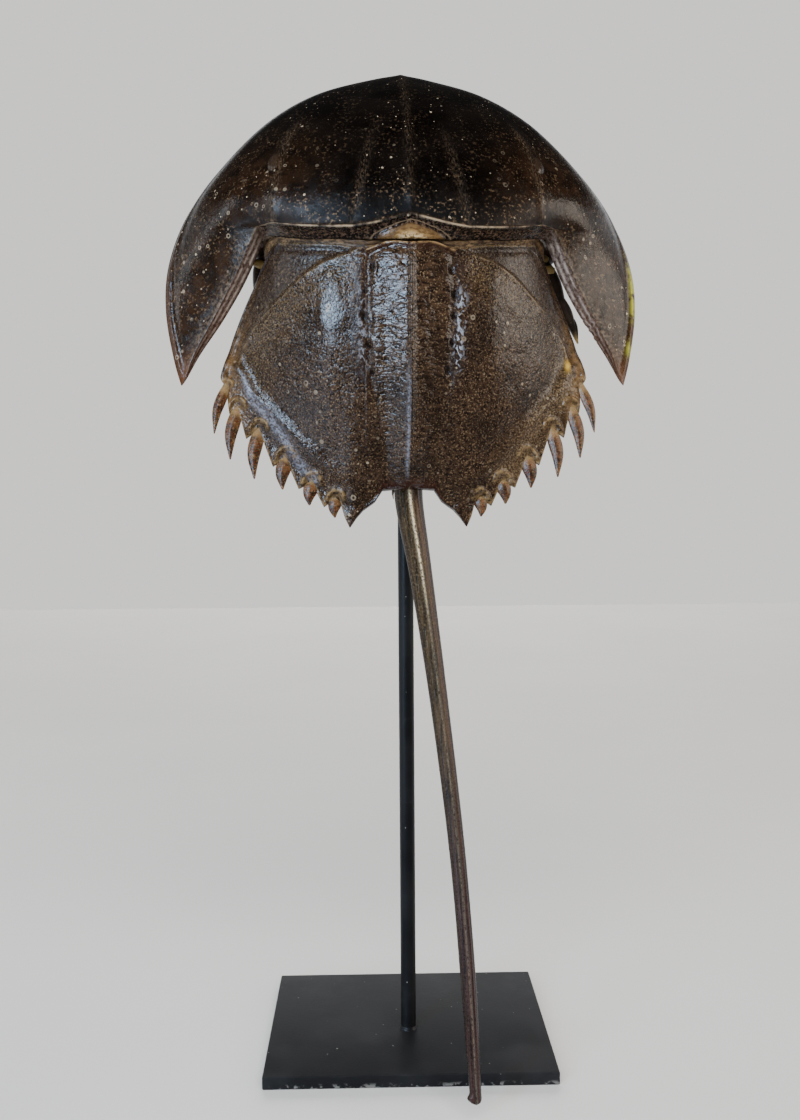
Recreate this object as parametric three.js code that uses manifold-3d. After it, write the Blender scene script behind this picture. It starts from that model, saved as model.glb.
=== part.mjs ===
// A dried horseshoe crab, head up on a steel rod and plate.
// World frame: millimetres, Z up, front towards -Y, origin under the middle of the plate.
// Body frame of the animal: x to its side, y towards its head, z out of its back; the middle of the
// hinge between the two shields is the origin.
import * as THREE from 'three';
import { mergeVertices } from 'three/addons/utils/BufferGeometryUtils.js';
import Module from 'manifold-3d';

const wasm = await Module();
wasm.setup();

// Driving dimensions, in millimetres and degrees.
const FIT = 0.3;
const PLATE = { width: 110, depth: 85, thick: 5, edge: 0.6 };
const ROD = { radius: 3, y: -6.5, top: 360, socket: 3.5 };
const BODY = { place: [-0.2, 1.5, 302], lean: 12.5, turn: 2.5 };

// Front shell: half outlines from the midline outwards, as [side, forward, height].
const FRONT = {
  rim: [[0, 84], [12, 81.7], [33.5, 75], [52, 63.2], [70.3, 43.4], [83.5, 23.5], [90, 3.6], [90.7, -14],
    [87.5, -33], [84.5, -44]],
  crest: [[0, 3.2, 47], [18, -0.4, 45.5], [36, 1.8, 40], [49, 6.5, 32], [54.5, 8, 28]],
  wingCrest: [[54.5, 8, 28], [63.5, -7.2, 18], [72, -20.6, 10.5], [79.6, -32.4, 5], [84.5, -44, 1.6]],
  lip: [[0, 0.6, 43.8], [13.5, -3.2, 41.5], [36, -1.2, 33], [49, 4.8, 23.5], [52, 6.8, 21]],
  wingLip: [[52, 6.8, 21], [60, -7, 12.5], [69, -20.5, 6.8], [78, -32.4, 2.5], [84.5, -44, 0.6]],
  corner: 0.68,
  end: 0.993,
  rimHeight: 1.2,
  fullness: 2.3,
  roundness: 0.75,
  eye: { side: 45.9, forward: 31.6, length: 6, height: 1.5 },
};
// Share of the lip's height that the underside keeps, from the hinge (0) out to the rim (1).
const FRONT_FLOOR = [[0, 1], [0.08, 0.56], [0.3, 0.5], [0.5, 0.42], [0.7, 0.24], [0.84, 0.08], [1, 0]];

// Rear shell: half outlines as [side, forward, height], front edge first, then the toothed rear edge.
const REAR = {
  front: [[0, -4.6, 41], [8, -4.2, 41], [16.5, -5.4, 40], [33, -3.4, 35], [43, -0.4, 29.5], [49, 1.7, 24],
    [57, -8, 11], [64, -22, 4.5], [70.1, -39.5, 2.4]],
  notch: [[0, -85.7, 10], [9.4, -86.3, 6.5], [15, -90.5, 4]],
  point: [21.8, -98.5, 2.6],
  bulge: 7,
  wall: 4,
  frontWall: 8,
  furrow: { side: 15.5, width: 2.6, depth: 1.2 },
  keel: { width: 2.2, height: 0.9 },
};
// Side spines from the front one back: foot, tip and width of each.
const SIDE_SPINES = [
  { foot: [68.2, -44.5], tip: [72.5, -62.5], width: 4.2 },
  { foot: [63.8, -53.1], tip: [66.5, -72.5], width: 5.2 },
  { foot: [55.8, -61.6], tip: [57.5, -80], width: 5.4 },
  { foot: [45.9, -72.9], tip: [47, -84.1], width: 5.2 },
  { foot: [36.1, -82.4], tip: [37, -90.2], width: 4.6 },
  { foot: [27.4, -88.7], tip: [27.5, -95], width: 4 },
];
const SPINE_HEIGHT = 1.3;
// Fixed teeth of the rear edge, each outside the socket of the spine behind it.
const TEETH = [[66.9, -54.6], [60.6, -64.2], [50.6, -75], [41, -83.6], [31.6, -90.6]];

const TAIL = {
  route: [[0.4, -81, 1.4], [0.6, -89, 1.6], [3.9, -113.4, 2.2], [9.7, -163, 3], [15.1, -220, 3.4],
    [17.8, -268, 3.6], [19, -303, 3.6]],
  halfWidth: [3.6, 4.3, 3.5, 3.1, 2.85, 2.7, 1.7],
};
const LEG = { count: 5, radius: 2.9, rootSide: 11, firstRoot: 43, step: 9.2, rootHeight: 12 };
const GILL = { count: 6, first: -11, step: 10.5, length: 14.5, halfWidth: 33, thick: 1.4, lift: 16, drop: 1 };

const finish = (color, roughness, metalness = 0) =>
  new THREE.MeshStandardMaterial({ color, roughness, metalness });
const BLACK_PAINT = finish(0x15161a, 0.45, 0.3);
const DARK_SHELL = finish(0x2a1d17, 0.25);
const BROWN_SHELL = finish(0x4a382b, 0.3);
const GOLDEN_SKIN = finish(0x8a6238, 0.4);
const AMBER_SPINE = finish(0x6b4a2a, 0.35);
const BRONZE_TAIL = finish(0x4d3a2c, 0.35);
const DARK_LIMB = finish(0x332519, 0.5);
const PALE_GILL = finish(0x6a5238, 0.6);

const vec = (p) => new THREE.Vector3(p[0], p[1], p[2] ?? 0);
const lerp = THREE.MathUtils.lerp;
const mirrored = (p, side) => new THREE.Vector3(p.x * side, p.y, p.z);

function curveThrough(points) {
  return new THREE.CatmullRomCurve3(points.map(vec), false, 'centripetal');
}

// Height or width read off a list of [place, value] pairs, straight between them.
function readOff(pairs, place) {
  const next = pairs.findIndex((pair) => pair[0] >= place);
  if (next <= 0) return pairs[next === 0 ? 0 : pairs.length - 1][1];
  const [a, b] = [pairs[next - 1], pairs[next]];
  return lerp(a[1], b[1], (place - a[0]) / (b[0] - a[0]));
}

// The same reading along a smooth line through the pairs.
function readSmooth(pairs, place) {
  const next = Math.max(1, pairs.findIndex((pair) => pair[0] >= place));
  const [a, b] = [pairs[next - 1], pairs[next]];
  const slope = (p, q) => (q[1] - p[1]) / (q[0] - p[0]);
  const step = b[0] - a[0];
  const start = next > 1 ? slope(pairs[next - 2], b) : 0;
  const end = next + 1 < pairs.length ? slope(a, pairs[next + 1]) : slope(a, b);
  const t = (place - a[0]) / step;
  const rise = t * t * (3 - 2 * t);
  return lerp(a[1], b[1], rise) + step * t * (1 - t) * (start * (1 - t) - end * t);
}

// A closed body through a row of closed loops with equal numbers of points, capped at both ends.
function loft(loops) {
  const size = loops[0].length;
  const points = loops.flat();
  const index = [];
  for (let i = 0; i + 1 < loops.length; i += 1) {
    for (let j = 0; j < size; j += 1) {
      const a = i * size + j;
      const b = i * size + ((j + 1) % size);
      index.push(a, b, b + size, a, b + size, a + size);
    }
  }
  for (const [first, turn] of [[0, true], [(loops.length - 1) * size, false]]) {
    const middle = new THREE.Vector3();
    for (let j = 0; j < size; j += 1) middle.addScaledVector(points[first + j], 1 / size);
    points.push(middle);
    for (let j = 0; j < size; j += 1) {
      const pair = [first + j, first + ((j + 1) % size)];
      if (turn) pair.reverse();
      index.push(pair[0], pair[1], points.length - 1);
    }
  }
  return outward(new THREE.BufferGeometry().setFromPoints(points).setIndex(index));
}

// Turns every triangle round if the body came out inside out.
function outward(geometry) {
  const p = geometry.getAttribute('position');
  const index = geometry.getIndex().array;
  let volume = 0;
  const corner = [0, 1, 2].map(() => new THREE.Vector3());
  for (let i = 0; i < index.length; i += 3) {
    corner.forEach((c, k) => c.fromBufferAttribute(p, index[i + k]));
    volume += corner[0].dot(corner[1].clone().cross(corner[2]));
  }
  if (volume < 0) {
    for (let i = 0; i < index.length; i += 3) [index[i], index[i + 1]] = [index[i + 1], index[i]];
  }
  geometry.computeVertexNormals();
  return geometry;
}

// The body as modelled on the right, or its mirror image on the left.
function onSide(side, geometry) {
  return side > 0 ? geometry : outward(geometry.scale(-1, 1, 1));
}

function toSolid(geometry) {
  const plain = new THREE.BufferGeometry();
  plain.setAttribute('position', geometry.getAttribute('position'));
  if (geometry.getIndex()) plain.setIndex(geometry.getIndex());
  const welded = mergeVertices(plain, 1e-4);
  const mesh = new wasm.Mesh({
    numProp: 3,
    vertProperties: new Float32Array(welded.getAttribute('position').array),
    triVerts: new Uint32Array(welded.getIndex().array),
  });
  return new wasm.Manifold(mesh);
}

function toGeometry(solid) {
  const mesh = solid.getMesh();
  const geometry = new THREE.BufferGeometry();
  geometry.setAttribute('position', new THREE.BufferAttribute(mesh.vertProperties, 3));
  geometry.setIndex(new THREE.BufferAttribute(mesh.triVerts, 1));
  geometry.computeVertexNormals();
  return geometry;
}

function cutFrom(body, ...tools) {
  return toGeometry(tools.map(toSolid).reduce((left, tool) => left.subtract(tool), toSolid(body)));
}

function named(name, geometry, material) {
  const mesh = new THREE.Mesh(geometry, material);
  mesh.name = name;
  return mesh;
}

// A round or flattened bar along a route, with a half width at each point of it.
function bar(route, halfWidths, { sides = 8, rings = 10, flat = 1 } = {}) {
  const path = curveThrough(route);
  const widths = halfWidths.map((w, i) => [i / (halfWidths.length - 1), w]);
  const back = new THREE.Vector3(0, 0, 1);
  const loops = [];
  for (let i = 0; i <= rings; i += 1) {
    const t = i / rings;
    const along = path.getTangent(t);
    const across = new THREE.Vector3().crossVectors(along, back).normalize();
    const up = new THREE.Vector3().crossVectors(across, along);
    const w = readOff(widths, t);
    loops.push(Array.from({ length: sides }, (_, j) => {
      const turn = (2 * Math.PI * j) / sides;
      return path.getPoint(t).addScaledVector(across, w * Math.cos(turn))
        .addScaledVector(up, w * flat * Math.sin(turn));
    }));
  }
  return loft(loops);
}

// Stand: a flat plate with a socket, and a rod that stands in it.
function basePlate() {
  const [w, d] = [PLATE.width / 2 - PLATE.edge, PLATE.depth / 2 - PLATE.edge];
  const outline = new THREE.Shape();
  outline.moveTo(-w, -d).lineTo(w, -d).lineTo(w, d).lineTo(-w, d).closePath();
  const plate = new THREE.ExtrudeGeometry(outline, {
    depth: PLATE.thick - 2 * PLATE.edge,
    bevelEnabled: true,
    bevelSegments: 1,
    bevelSize: PLATE.edge,
    bevelThickness: PLATE.edge,
  }).translate(0, 0, PLATE.edge);
  return cutFrom(plate, rodCylinder(PLATE.thick - ROD.socket, PLATE.thick + 1, FIT));
}

function rodCylinder(bottom, top, clearance = 0) {
  return new THREE.CylinderGeometry(ROD.radius + clearance, ROD.radius + clearance, top - bottom, 24)
    .rotateX(Math.PI / 2)
    .translate(0, ROD.y, (bottom + top) / 2);
}

// Front shell. The sections run from the hinge and the inner wing edges out to the rim; `place` goes
// from -1 at the left wing point, over the front, to 1 at the right wing point.
const rimCurve = curveThrough(FRONT.rim);
const crestCurve = curveThrough(FRONT.crest);
const wingCrestCurve = curveThrough(FRONT.wingCrest);
const lipCurve = curveThrough(FRONT.lip);
const wingLipCurve = curveThrough(FRONT.wingLip);

function innerEdge(hinge, wing, part) {
  if (part <= FRONT.corner) return hinge.getPointAt(part / FRONT.corner);
  return wing.getPointAt((part - FRONT.corner) / (1 - FRONT.corner));
}

function eyeBump(x, y) {
  const { side, forward, length, height } = FRONT.eye;
  const away = ((Math.abs(x) - side) / (length * 0.55)) ** 2 + ((y - forward) / length) ** 2;
  return height * Math.exp(-away);
}

function frontSection(place, steps) {
  const part = Math.abs(place);
  const side = Math.sign(place) || 1;
  const rim = rimCurve.getPointAt(part);
  const crest = innerEdge(crestCurve, wingCrestCurve, part);
  const lip = innerEdge(lipCurve, wingLipCurve, part);
  const loop = [];
  for (let i = 0; i <= steps; i += 1) {
    const r = 1 - (1 - i / steps) ** 1.4;
    const p = crest.clone().lerp(rim, r);
    p.z = lerp(FRONT.rimHeight, crest.z, (1 - r ** FRONT.fullness) ** FRONT.roundness);
    p.z += eyeBump(p.x, p.y);
    loop.push(mirrored(p, side));
  }
  for (const [r, share] of [...FRONT_FLOOR].reverse()) {
    const p = lip.clone().lerp(rim, r);
    p.z = lip.z * share;
    loop.push(mirrored(p, side));
  }
  return loop;
}

function frontShell() {
  const loops = [];
  const half = 30;
  for (let i = -half; i <= half; i += 1) loops.push(frontSection((FRONT.end * i) / half, 11));
  return loft(loops);
}

// Rear shell. The sections run from the front edge back to the toothed edge at one distance from the keel;
// heights follow the plain edge, so the teeth don't ripple the shield.
const SOCKETS = SIDE_SPINES.map(({ foot }) => [foot[0], foot[1] + 1.2, 2.4]).reverse();
const EDGE_END = [70.1, -41.5, 2.4];
const PLAIN_EDGE = [...REAR.notch, [REAR.point[0], -93, REAR.point[2]], ...SOCKETS, EDGE_END];
const TOOTHED_EDGE = [...REAR.notch, REAR.point, [24.6, -91.5, 2.4], ...SOCKETS, ...TEETH, EDGE_END]
  .sort((a, b) => a[0] - b[0]);
const asPairs = (points, k) => points.map((p) => [p[0], p[k]]);

function rearRelief(x, r) {
  const { furrow, keel } = REAR;
  const fade = Math.sin(Math.PI * Math.min(1, r + 0.15)) ** 0.5;
  const groove = furrow.depth * Math.exp(-(((x - furrow.side) / furrow.width) ** 2));
  const ridge = keel.height * Math.exp(-((x / keel.width) ** 2));
  return fade * (ridge - groove);
}

function rearSection(x, steps) {
  const a = Math.abs(x);
  const y0 = readOff(asPairs(REAR.front, 1), a);
  const z0 = readSmooth(asPairs(REAR.front, 2), a);
  const [y1, z1] = [1, 2].map((k) => readSmooth(asPairs(PLAIN_EDGE, k), a));
  const tooth = readOff(asPairs(TOOTHED_EDGE, 1), a);
  const bulge = REAR.bulge * (1 - (a / EDGE_END[0]) ** 3);
  const top = [];
  const under = [];
  for (let i = 0; i <= steps; i += 1) {
    const y = lerp(y0, tooth, i / steps);
    const r = Math.min(1, (y - y0) / (y1 - y0));
    const z = lerp(z0, z1, r) + bulge * (4 * r * (1 - r)) ** 0.8 + rearRelief(a, r);
    top.push(new THREE.Vector3(x, y, z));
    under.push(new THREE.Vector3(x, y, Math.max(0, z - lerp(REAR.frontWall, REAR.wall, r))));
  }
  return [...top, ...under.reverse()];
}

function rearShell() {
  const marks = [...REAR.front, ...TOOTHED_EDGE].map((p) => p[0]);
  const between = [2, 4, 12, 13.2, 15.5, 18, 19.6];
  const right = [...new Set([...marks, ...between])].sort((a, b) => a - b);
  const left = right.filter((x) => x > 0).map((x) => -x).reverse();
  const shield = loft([...left, ...right].map((x) => rearSection(x, 9)));
  const sockets = SIDE_SPINES.flatMap((spine) => [-1, 1].map((side) => sideSpine(spine, side, FIT)));
  return cutFrom(shield, ...sockets);
}

// Hinge skin: a narrow band between the two shields, swelling to a lens over the middle.
function hingeSkin() {
  const lipAt = (k, a) => readOff(asPairs(FRONT.lip, k), a);
  const frontAt = (k, a) => readOff(asPairs(REAR.front, k), a);
  const loops = [];
  for (let i = -16; i <= 16; i += 1) {
    const x = (46 * i) / 16;
    const a = Math.abs(x);
    const lens = Math.max(0, 1 - (a / 14) ** 2);
    const [y1, y0] = [lipAt(1, a) - 2.5 * FIT, frontAt(1, a) + 1.5 * FIT];
    const z = Math.min(lipAt(2, a), frontAt(2, a)) - 1.2;
    loops.push([[y0, z - 3], [y0, z], [lerp(y0, y1, 0.5), z + 0.6 + 2.2 * lens], [y1, z + lens], [y1, z - 3]]
      .map(([y, h]) => new THREE.Vector3(x, y, h)));
  }
  return loft(loops);
}

// Tail spine: three-sided, with the sharp ridge on the back.
function tailSpine() {
  const path = curveThrough(TAIL.route);
  const widths = TAIL.halfWidth.map((w, i) => [i / (TAIL.halfWidth.length - 1), w]);
  const section = [[-1, -0.55], [-0.62, 0.25], [0, 0.95], [0.62, 0.25], [1, -0.55], [0, -0.8]];
  const loops = [];
  for (let i = 0; i <= 30; i += 1) {
    const w = readOff(widths, i / 30);
    const middle = path.getPoint(i / 30);
    loops.push(section.map(([x, z]) => middle.clone().add(new THREE.Vector3(x * w, 0, z * w))));
  }
  return loft(loops);
}

// A side spine, bent a little outwards; with a clearance it is the socket that the spine sits in.
function sideSpine({ foot, tip, width }, side, clearance = 0) {
  const bend = 0.06 * (foot[1] - tip[1]);
  const route = [
    [foot[0], foot[1] + clearance, SPINE_HEIGHT],
    [lerp(foot[0], tip[0], 0.5) + bend, lerp(foot[1], tip[1], 0.5), SPINE_HEIGHT],
    [tip[0], tip[1], SPINE_HEIGHT],
  ];
  const widths = [0.8, 1, 0.9, 0.6, 0.12].map((share) => (share * width) / 2 + clearance);
  return onSide(side, bar(route, widths, { rings: 6, sides: 6, flat: 0.45 + 0.2 * clearance }));
}

// Walking legs: out from beside the mouth, over a knee, and back in to a small pincer.
function legRoute(i, side) {
  const y = LEG.firstRoot - LEG.step * i;
  const root = [LEG.rootSide, y, LEG.rootHeight];
  if (i === LEG.count - 1) {
    const reach = side > 0 ? [[61.5, -9.6, 2], [68.5, -26, -1.6]] : [[55.5, -8, -2.2], [49, -22, -3.4]];
    return [root, [33, y + 1.5, 8], [54.8, 1.6, 5], ...reach];
  }
  const knee = 37 + 2.5 * i;
  return [root, [24, y + 2, 9.5], [knee, y + 0.5, 7], [knee + 1.5, y - 1.5, 2.2], [28 + i, y - 3, -0.5]];
}

function leg(i, side) {
  const route = legRoute(i, side);
  const r = LEG.radius;
  return onSide(side, bar(route, [r, r * 0.8, r, r * 0.7, r * 0.45], { rings: 12, sides: 7 }));
}

function mouthClaw(side) {
  const route = [[7, 53, 10], [7.6, 49, 8.5], [7, 44.5, 7]];
  return onSide(side, bar(route, [1.5, 1.7, 0.7], { rings: 5, sides: 6 }));
}

// Gill covers: overlapping flaps, each notched in the middle of its free edge.
function gillCover(i) {
  const w = GILL.halfWidth - 3.2 * i;
  const flap = new THREE.Shape();
  flap.moveTo(-w, 0).lineTo(w, 0).lineTo(w - 2, -GILL.length * 0.7);
  flap.quadraticCurveTo(w * 0.5, -GILL.length * 1.1, 2, -GILL.length * 0.85);
  flap.lineTo(0, -GILL.length * 0.6).lineTo(-2, -GILL.length * 0.85);
  flap.quadraticCurveTo(-w * 0.5, -GILL.length * 1.1, -w + 2, -GILL.length * 0.7).closePath();
  const plate = new THREE.ExtrudeGeometry(flap, { depth: GILL.thick, bevelEnabled: false, curveSegments: 5 });
  const slope = THREE.MathUtils.degToRad(15.5);
  return plate.rotateX(slope).translate(0, GILL.first - GILL.step * i, GILL.lift - GILL.drop * i);
}

// The rod's clearance hole, moved from the world into the body frame.
function rodHole(body) {
  body.updateMatrixWorld(true);
  return rodCylinder(300, ROD.top + FIT, FIT).applyMatrix4(body.matrixWorld.clone().invert());
}

const animal = new THREE.Group();
animal.position.set(...BODY.place);
animal.rotation.set(
  THREE.MathUtils.degToRad(90 - BODY.lean), 0, THREE.MathUtils.degToRad(BODY.turn), 'ZYX');
animal.add(
  named('front_shell', cutFrom(frontShell(), rodHole(animal)), DARK_SHELL),
  named('rear_shell', rearShell(), BROWN_SHELL),
  named('hinge_skin', hingeSkin(), GOLDEN_SKIN),
  named('tail_spine', tailSpine(), BRONZE_TAIL),
);
for (const [word, side] of [['left', -1], ['right', 1]]) {
  SIDE_SPINES.forEach((spine, i) => {
    animal.add(named(`side_spine_${word}_${i + 1}`, sideSpine(spine, side), AMBER_SPINE));
  });
  for (let i = 0; i < LEG.count; i += 1) {
    animal.add(named(`leg_${word}_${i + 1}`, leg(i, side), DARK_LIMB));
  }
  animal.add(named(`mouth_claw_${word}`, mouthClaw(side), DARK_LIMB));
}
for (let i = 0; i < GILL.count; i += 1) {
  animal.add(named(`gill_cover_${i + 1}`, gillCover(i), PALE_GILL));
}

const part = new THREE.Group();
part.add(
  named('base_plate', basePlate(), BLACK_PAINT),
  named('stand_rod', rodCylinder(PLATE.thick - ROD.socket + FIT, ROD.top), BLACK_PAINT),
  animal,
);

export default part;
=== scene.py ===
"""Dried horseshoe crab on a black stand: the shields, spines, limbs and stand modelled over the CAD frame."""
import math

import bpy
import numpy as np
from bpy.props import FloatProperty, FloatVectorProperty, IntProperty, PointerProperty
from mathutils import Matrix, Vector


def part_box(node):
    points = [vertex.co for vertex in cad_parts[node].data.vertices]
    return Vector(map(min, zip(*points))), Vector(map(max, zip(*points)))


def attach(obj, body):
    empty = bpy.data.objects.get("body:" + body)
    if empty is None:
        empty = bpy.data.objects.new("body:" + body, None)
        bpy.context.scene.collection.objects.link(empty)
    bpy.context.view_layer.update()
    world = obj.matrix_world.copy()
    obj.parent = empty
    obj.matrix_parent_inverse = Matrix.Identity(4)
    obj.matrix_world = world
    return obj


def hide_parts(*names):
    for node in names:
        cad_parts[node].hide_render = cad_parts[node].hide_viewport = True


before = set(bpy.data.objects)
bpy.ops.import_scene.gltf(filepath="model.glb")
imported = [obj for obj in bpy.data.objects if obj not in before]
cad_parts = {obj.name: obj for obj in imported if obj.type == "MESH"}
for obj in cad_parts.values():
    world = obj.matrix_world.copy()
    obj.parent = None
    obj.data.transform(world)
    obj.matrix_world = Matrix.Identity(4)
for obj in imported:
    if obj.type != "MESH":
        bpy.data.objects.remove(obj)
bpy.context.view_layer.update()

bl_info = {
    "name": "Horseshoe crab on a stand",
    "version": (1, 0, 0),
    "blender": (4, 5, 0),
    "location": "View3D > Sidebar > Crab",
    "description": "Builds a dried horseshoe crab, its stand and a pale studio over the CAD frame",
    "category": "Add Mesh",
}

MM = 0.001

# The animal's own frame: x to its right, y towards its head, z out of its back, in millimetres.
# Outlines give the right half; the left half mirrors it.
FRONT_RIM = [[0, 84], [12, 81.7], [33.5, 75], [52, 63.2], [70.3, 43.4], [83.5, 23.5], [90, 3.6], [90.7, -14],
             [87.5, -33], [84.5, -44]]
FRONT_CREST = [[0, 3.2, 47], [18, -0.4, 45.5], [36, 1.8, 40], [49, 6.5, 32], [54.5, 8, 28]]
WING_CREST = [[54.5, 8, 28], [63.5, -7.2, 18], [72, -20.6, 10.5], [79.6, -32.4, 5], [84.5, -44, 1.6]]
FRONT_LIP = [[0, -4.0, 43.6], [14.3, -3.0, 41], [26.6, -1.0, 37], [36, 0.8, 32.5], [49, 6.0, 23.5], [52, 7.4, 21]]
WING_LIP = [[52, 7.4, 21], [60, -7, 12.5], [69, -20.5, 6.8], [78, -32.4, 2.5], [84.5, -44, 0.6]]
# Shares of the way from the middle of the front shield to the end of a wing.
WING_BLEND, WING_CORNER, WING_CLOSE, WING_END = (0.66, 0.74), 0.68, 0.985, 0.995
CHIP_SHARE, CHIP_WIDTH, CHIP_DEPTH = 0.875, 0.022, 2.2  # the ragged inner edge of the right wing
WING_TIP = (84.9, -43.6, 0.9)
RIM_HEIGHT = 1.2
DOME_FULLNESS, WING_FULLNESS = 2.3, 1.0
DOME_ROUNDNESS, WING_ROUNDNESS = 0.75, 0.93
FRONT_FLOOR = [[0, 1], [0.08, 0.56], [0.3, 0.5], [0.5, 0.42], [0.7, 0.24], [0.84, 0.08], [1, 0]]
EYE_RIDGE = [[48.7, 7.4], [48.2, 16], [46.4, 28], [44, 38], [39, 50]]
KEEL_KNOTS = (11, 38, 66)
EYE, EYE_REACH, EYE_SKEW = (48.6, 30.2), (1.9, 3.7), 0.12
LENS_HALF, LENS_TALL = 12.6, 0.74
# Lines beside an edge, here and below: height, distance from the edge and width.
RIM_BEADS, HINGE_FURROW = [(0.4, 1.0, 0.8), (-0.3, 3.2, 1.4)], (-0.08, 2.8, 1.5)
WING_RIBS = [(1, 0.28, 0.09), (1, 0.72, 0.10)]

REAR_FRONT = [[0, -4.6, 41], [8, -4.3, 41], [16.5, -5.0, 40], [26.6, -2.1, 36.5], [33, -0.8, 34.2], [39, 0.5, 31.2],
              [44.7, 2.4, 27.4], [48.2, 3.3, 24], [57, -8, 11], [64, -22, 4.5], [70.1, -39.5, 2.4]]
NOTCH = [[0, -85.4, 10], [9.4, -85.3, 6.5], [15, -89.3, 4]]
LOBE_EDGE = [[9.7, -85.2], [12.5, -89.2], [16.9, -92.2], [19.5, -95.1], [22, -98.6], [23.9, -94.6], [24.9, -91],
             [25.6, -88.6]]
LOBE_MIDDLE = [21.8, -90.8, 2.6]
REAR_BULGE, REAR_WALL, REAR_FRONT_WALL = 7, 4, 8
REAR_END = [70.1, -41.5, 2.4]
REAR_CLOSE, REAR_TIP = (69.6, 0.5), (70.3, -40.5, 1.3)  # where a side corner closes, over how far, to which point
MARGIN_BEADS, FLANK_BEADS = [(0.7, 6.5, 2.0), (-0.9, 11, 3.2)], [(0.5, 0.9, 0.8), (-0.35, 3.0, 1.3)]
REAR_HINGE_BEADS = [(0.5, 0.7, 0.7), (-0.4, 2.6, 1.2)]
HINGE_LOBE = 16.2  # half the width of the two lobes at the hinge
# Ovals on the rear shield, middle and reach: the flat that catches the light, the smooth spot on it,
# the swelling of the end lobes and the yellow spot.
FACET, POLISH = ((28, -26.5), (6.5, 9)), ((28.5, -28), (4.5, 8.5))
END_SWELL, YELLOW_SPOT = ((20.3, -91), (3.6, 4.5)), ((62.2, -37.5), (1.1, 2.2))
FACET_PLACE, FACET_SLOPE = (28.6, -24.4, 33.9), (-0.338, 0.288)  # the plane of that flat
SHELF_RIDGE = [[13.5, -5.4], [20, -6.3], [30.5, -8.9], [38, -12.4], [45.3, -17], [52, -21], [57, -24.8],
               [61, -31], [63.2, -37]]
PITS = {  # place and radius, on either side of the axis
    1: [(14.3, -13.5, 0.8), (15.6, -22, 1.0), (15.2, -29, 0.8), (14.6, -38, 0.6), (13.2, -47, 0.9)],
    -1: [(13.6, -13, 0.7), (16.4, -20.5, 0.6), (16.6, -29.5, 1.0), (15.2, -38.5, 0.85), (13.8, -47.5, 0.6)],
}
SIDE_SPINES = [  # foot, tip, width
    ((68.2, -44.5), (72.5, -62.5), 4.2),
    ((63.8, -53.1), (66.5, -72.5), 5.2),
    ((55.8, -61.6), (57.5, -80), 5.4),
    ((45.9, -72.9), (47, -84.1), 5.8),
    ((36.1, -82.4), (37, -90.2), 5.6),
    ((27.4, -88.7), (27.5, -95), 5),
]
SPINE_HEIGHT, SPINE_FLAT = 1.3, 0.45
SPINE_BEND, SPINE_ROOT, SPINE_RIB = 0.06, 2.2, 0.14
SPINE_TAPER = [0.55, 0.72, 0.92, 1.0, 0.98, 0.88, 0.72, 0.52, 0.30, 0.10]
TEETH = [[66.9, -54.6], [60.6, -64.2], [50.6, -75], [41, -83.6], [31.6, -90.6]]

# Half the width of the hinge skin, where its ends close and over how far, and its outside's share of the section.
SKIN_HALF, SKIN_CLOSE, SKIN_BACK = 53, (52.3, 0.7), 0.55

TAIL_ROUTE = [[0.4, -81, 1.4], [0.6, -89, 1.6], [3.9, -113.4, 2.2], [9.7, -163, 3], [15.1, -220, 3.4],
              [17.8, -268, 3.6], [19, -303, 3.6]]
TAIL_SPUR, SPUR_HALF = [(-5.2, -84.2, 3.6), (-5.8, -86, 3.8), (-5.6, -88.6, 3.8)], [0.6, 0.5, 0.3, 0.1]
TAIL_HALF = [5.4, 4.3, 3.5, 3.1, 2.85, 2.7, 2.0]
TAIL_LENGTH, TAIL_TOOTH, TAIL_CHIP = 226, 2.6, 0.991  # length, step of the teeth, and where the tip is chipped
TAIL_GROOVES = [(-0.08, 0.42, 0.1), (-0.048, 0.74, 0.08)]
TAIL_SECTION = [[-1, -0.55], [-0.62, 0.25], [-0.2, 0.62], [0, 0.95], [0.2, 0.62], [0.62, 0.25], [1, -0.55],
                [0.55, -0.62], [0, -0.8], [-0.55, -0.62]]

LEG_ROOT_SIDE, LEG_FIRST, LEG_STEP, LEG_ROOT_HEIGHT, LEG_RADIUS = 11, 43, 9.2, 12, 2.9
LEGS, LEG_TAPER = 5, (1, 0.92, 0.85, 0.8)
LAST_LEG_ENDS = {1: [[61.5, -9.6, 2], [68.5, -26, -1.6]], -1: [[55.5, -8, -2.2], [49, -22, -3.4]]}
SEGMENT_SWELL, CLAW_SWELL = [0.62, 0.95, 1.0, 0.72], [0.7, 1.0, 0.62, 0.14]
MOUTH_CLAW, MOUTH_CLAW_HALF = [[7, 53, 10], [7.6, 49, 8.5], [7, 44.5, 7]], [1.6, 1.5]
KNUCKLES = {  # place, half length, radius and paleness of the knuckles that show beside the hinge
    "left": [((-55.2, 2.2, 8.0), 2.4, 1.7, 1.0), ((-54.6, 8.8, 3.6), 3.6, 3.3, 0.4)],
    "right": [((54.6, 5.0, 7.8), 1.5, 1.5, 1.0), ((56.4, 0.6, 8.0), 2.0, 1.6, 1.0),
              ((56.5, 7.6, 3.6), 2.8, 3.3, 0.4)],
}
GILLS, GILL_FIRST, GILL_STEP, GILL_LENGTH, GILL_THICK = 6, -11, 10.5, 14.5, 1.4
GILL_HALF, GILL_NARROWING = 33, 3.2
GILL_LIFT, GILL_DROP, GILL_SLOPE = 16, 1, 15.5
SIDES = {"left": -1, "right": 1}

# How finely the pieces are divided: along and round.
FRONT_ROWS, REAR_ROWS = 150, 200
SKIN_GRID, TAIL_GRID, SPUR_GRID, GILL_GRID = (220, 40), (420, 48), (16, 12), (90, 60)
SPINE_GRID, SEGMENT_GRID, FINGER_GRID, KNUCKLE_GRID = (40, 24), (28, 18), (18, 12), (20, 16)
WELD_GAP = 2e-6

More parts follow.
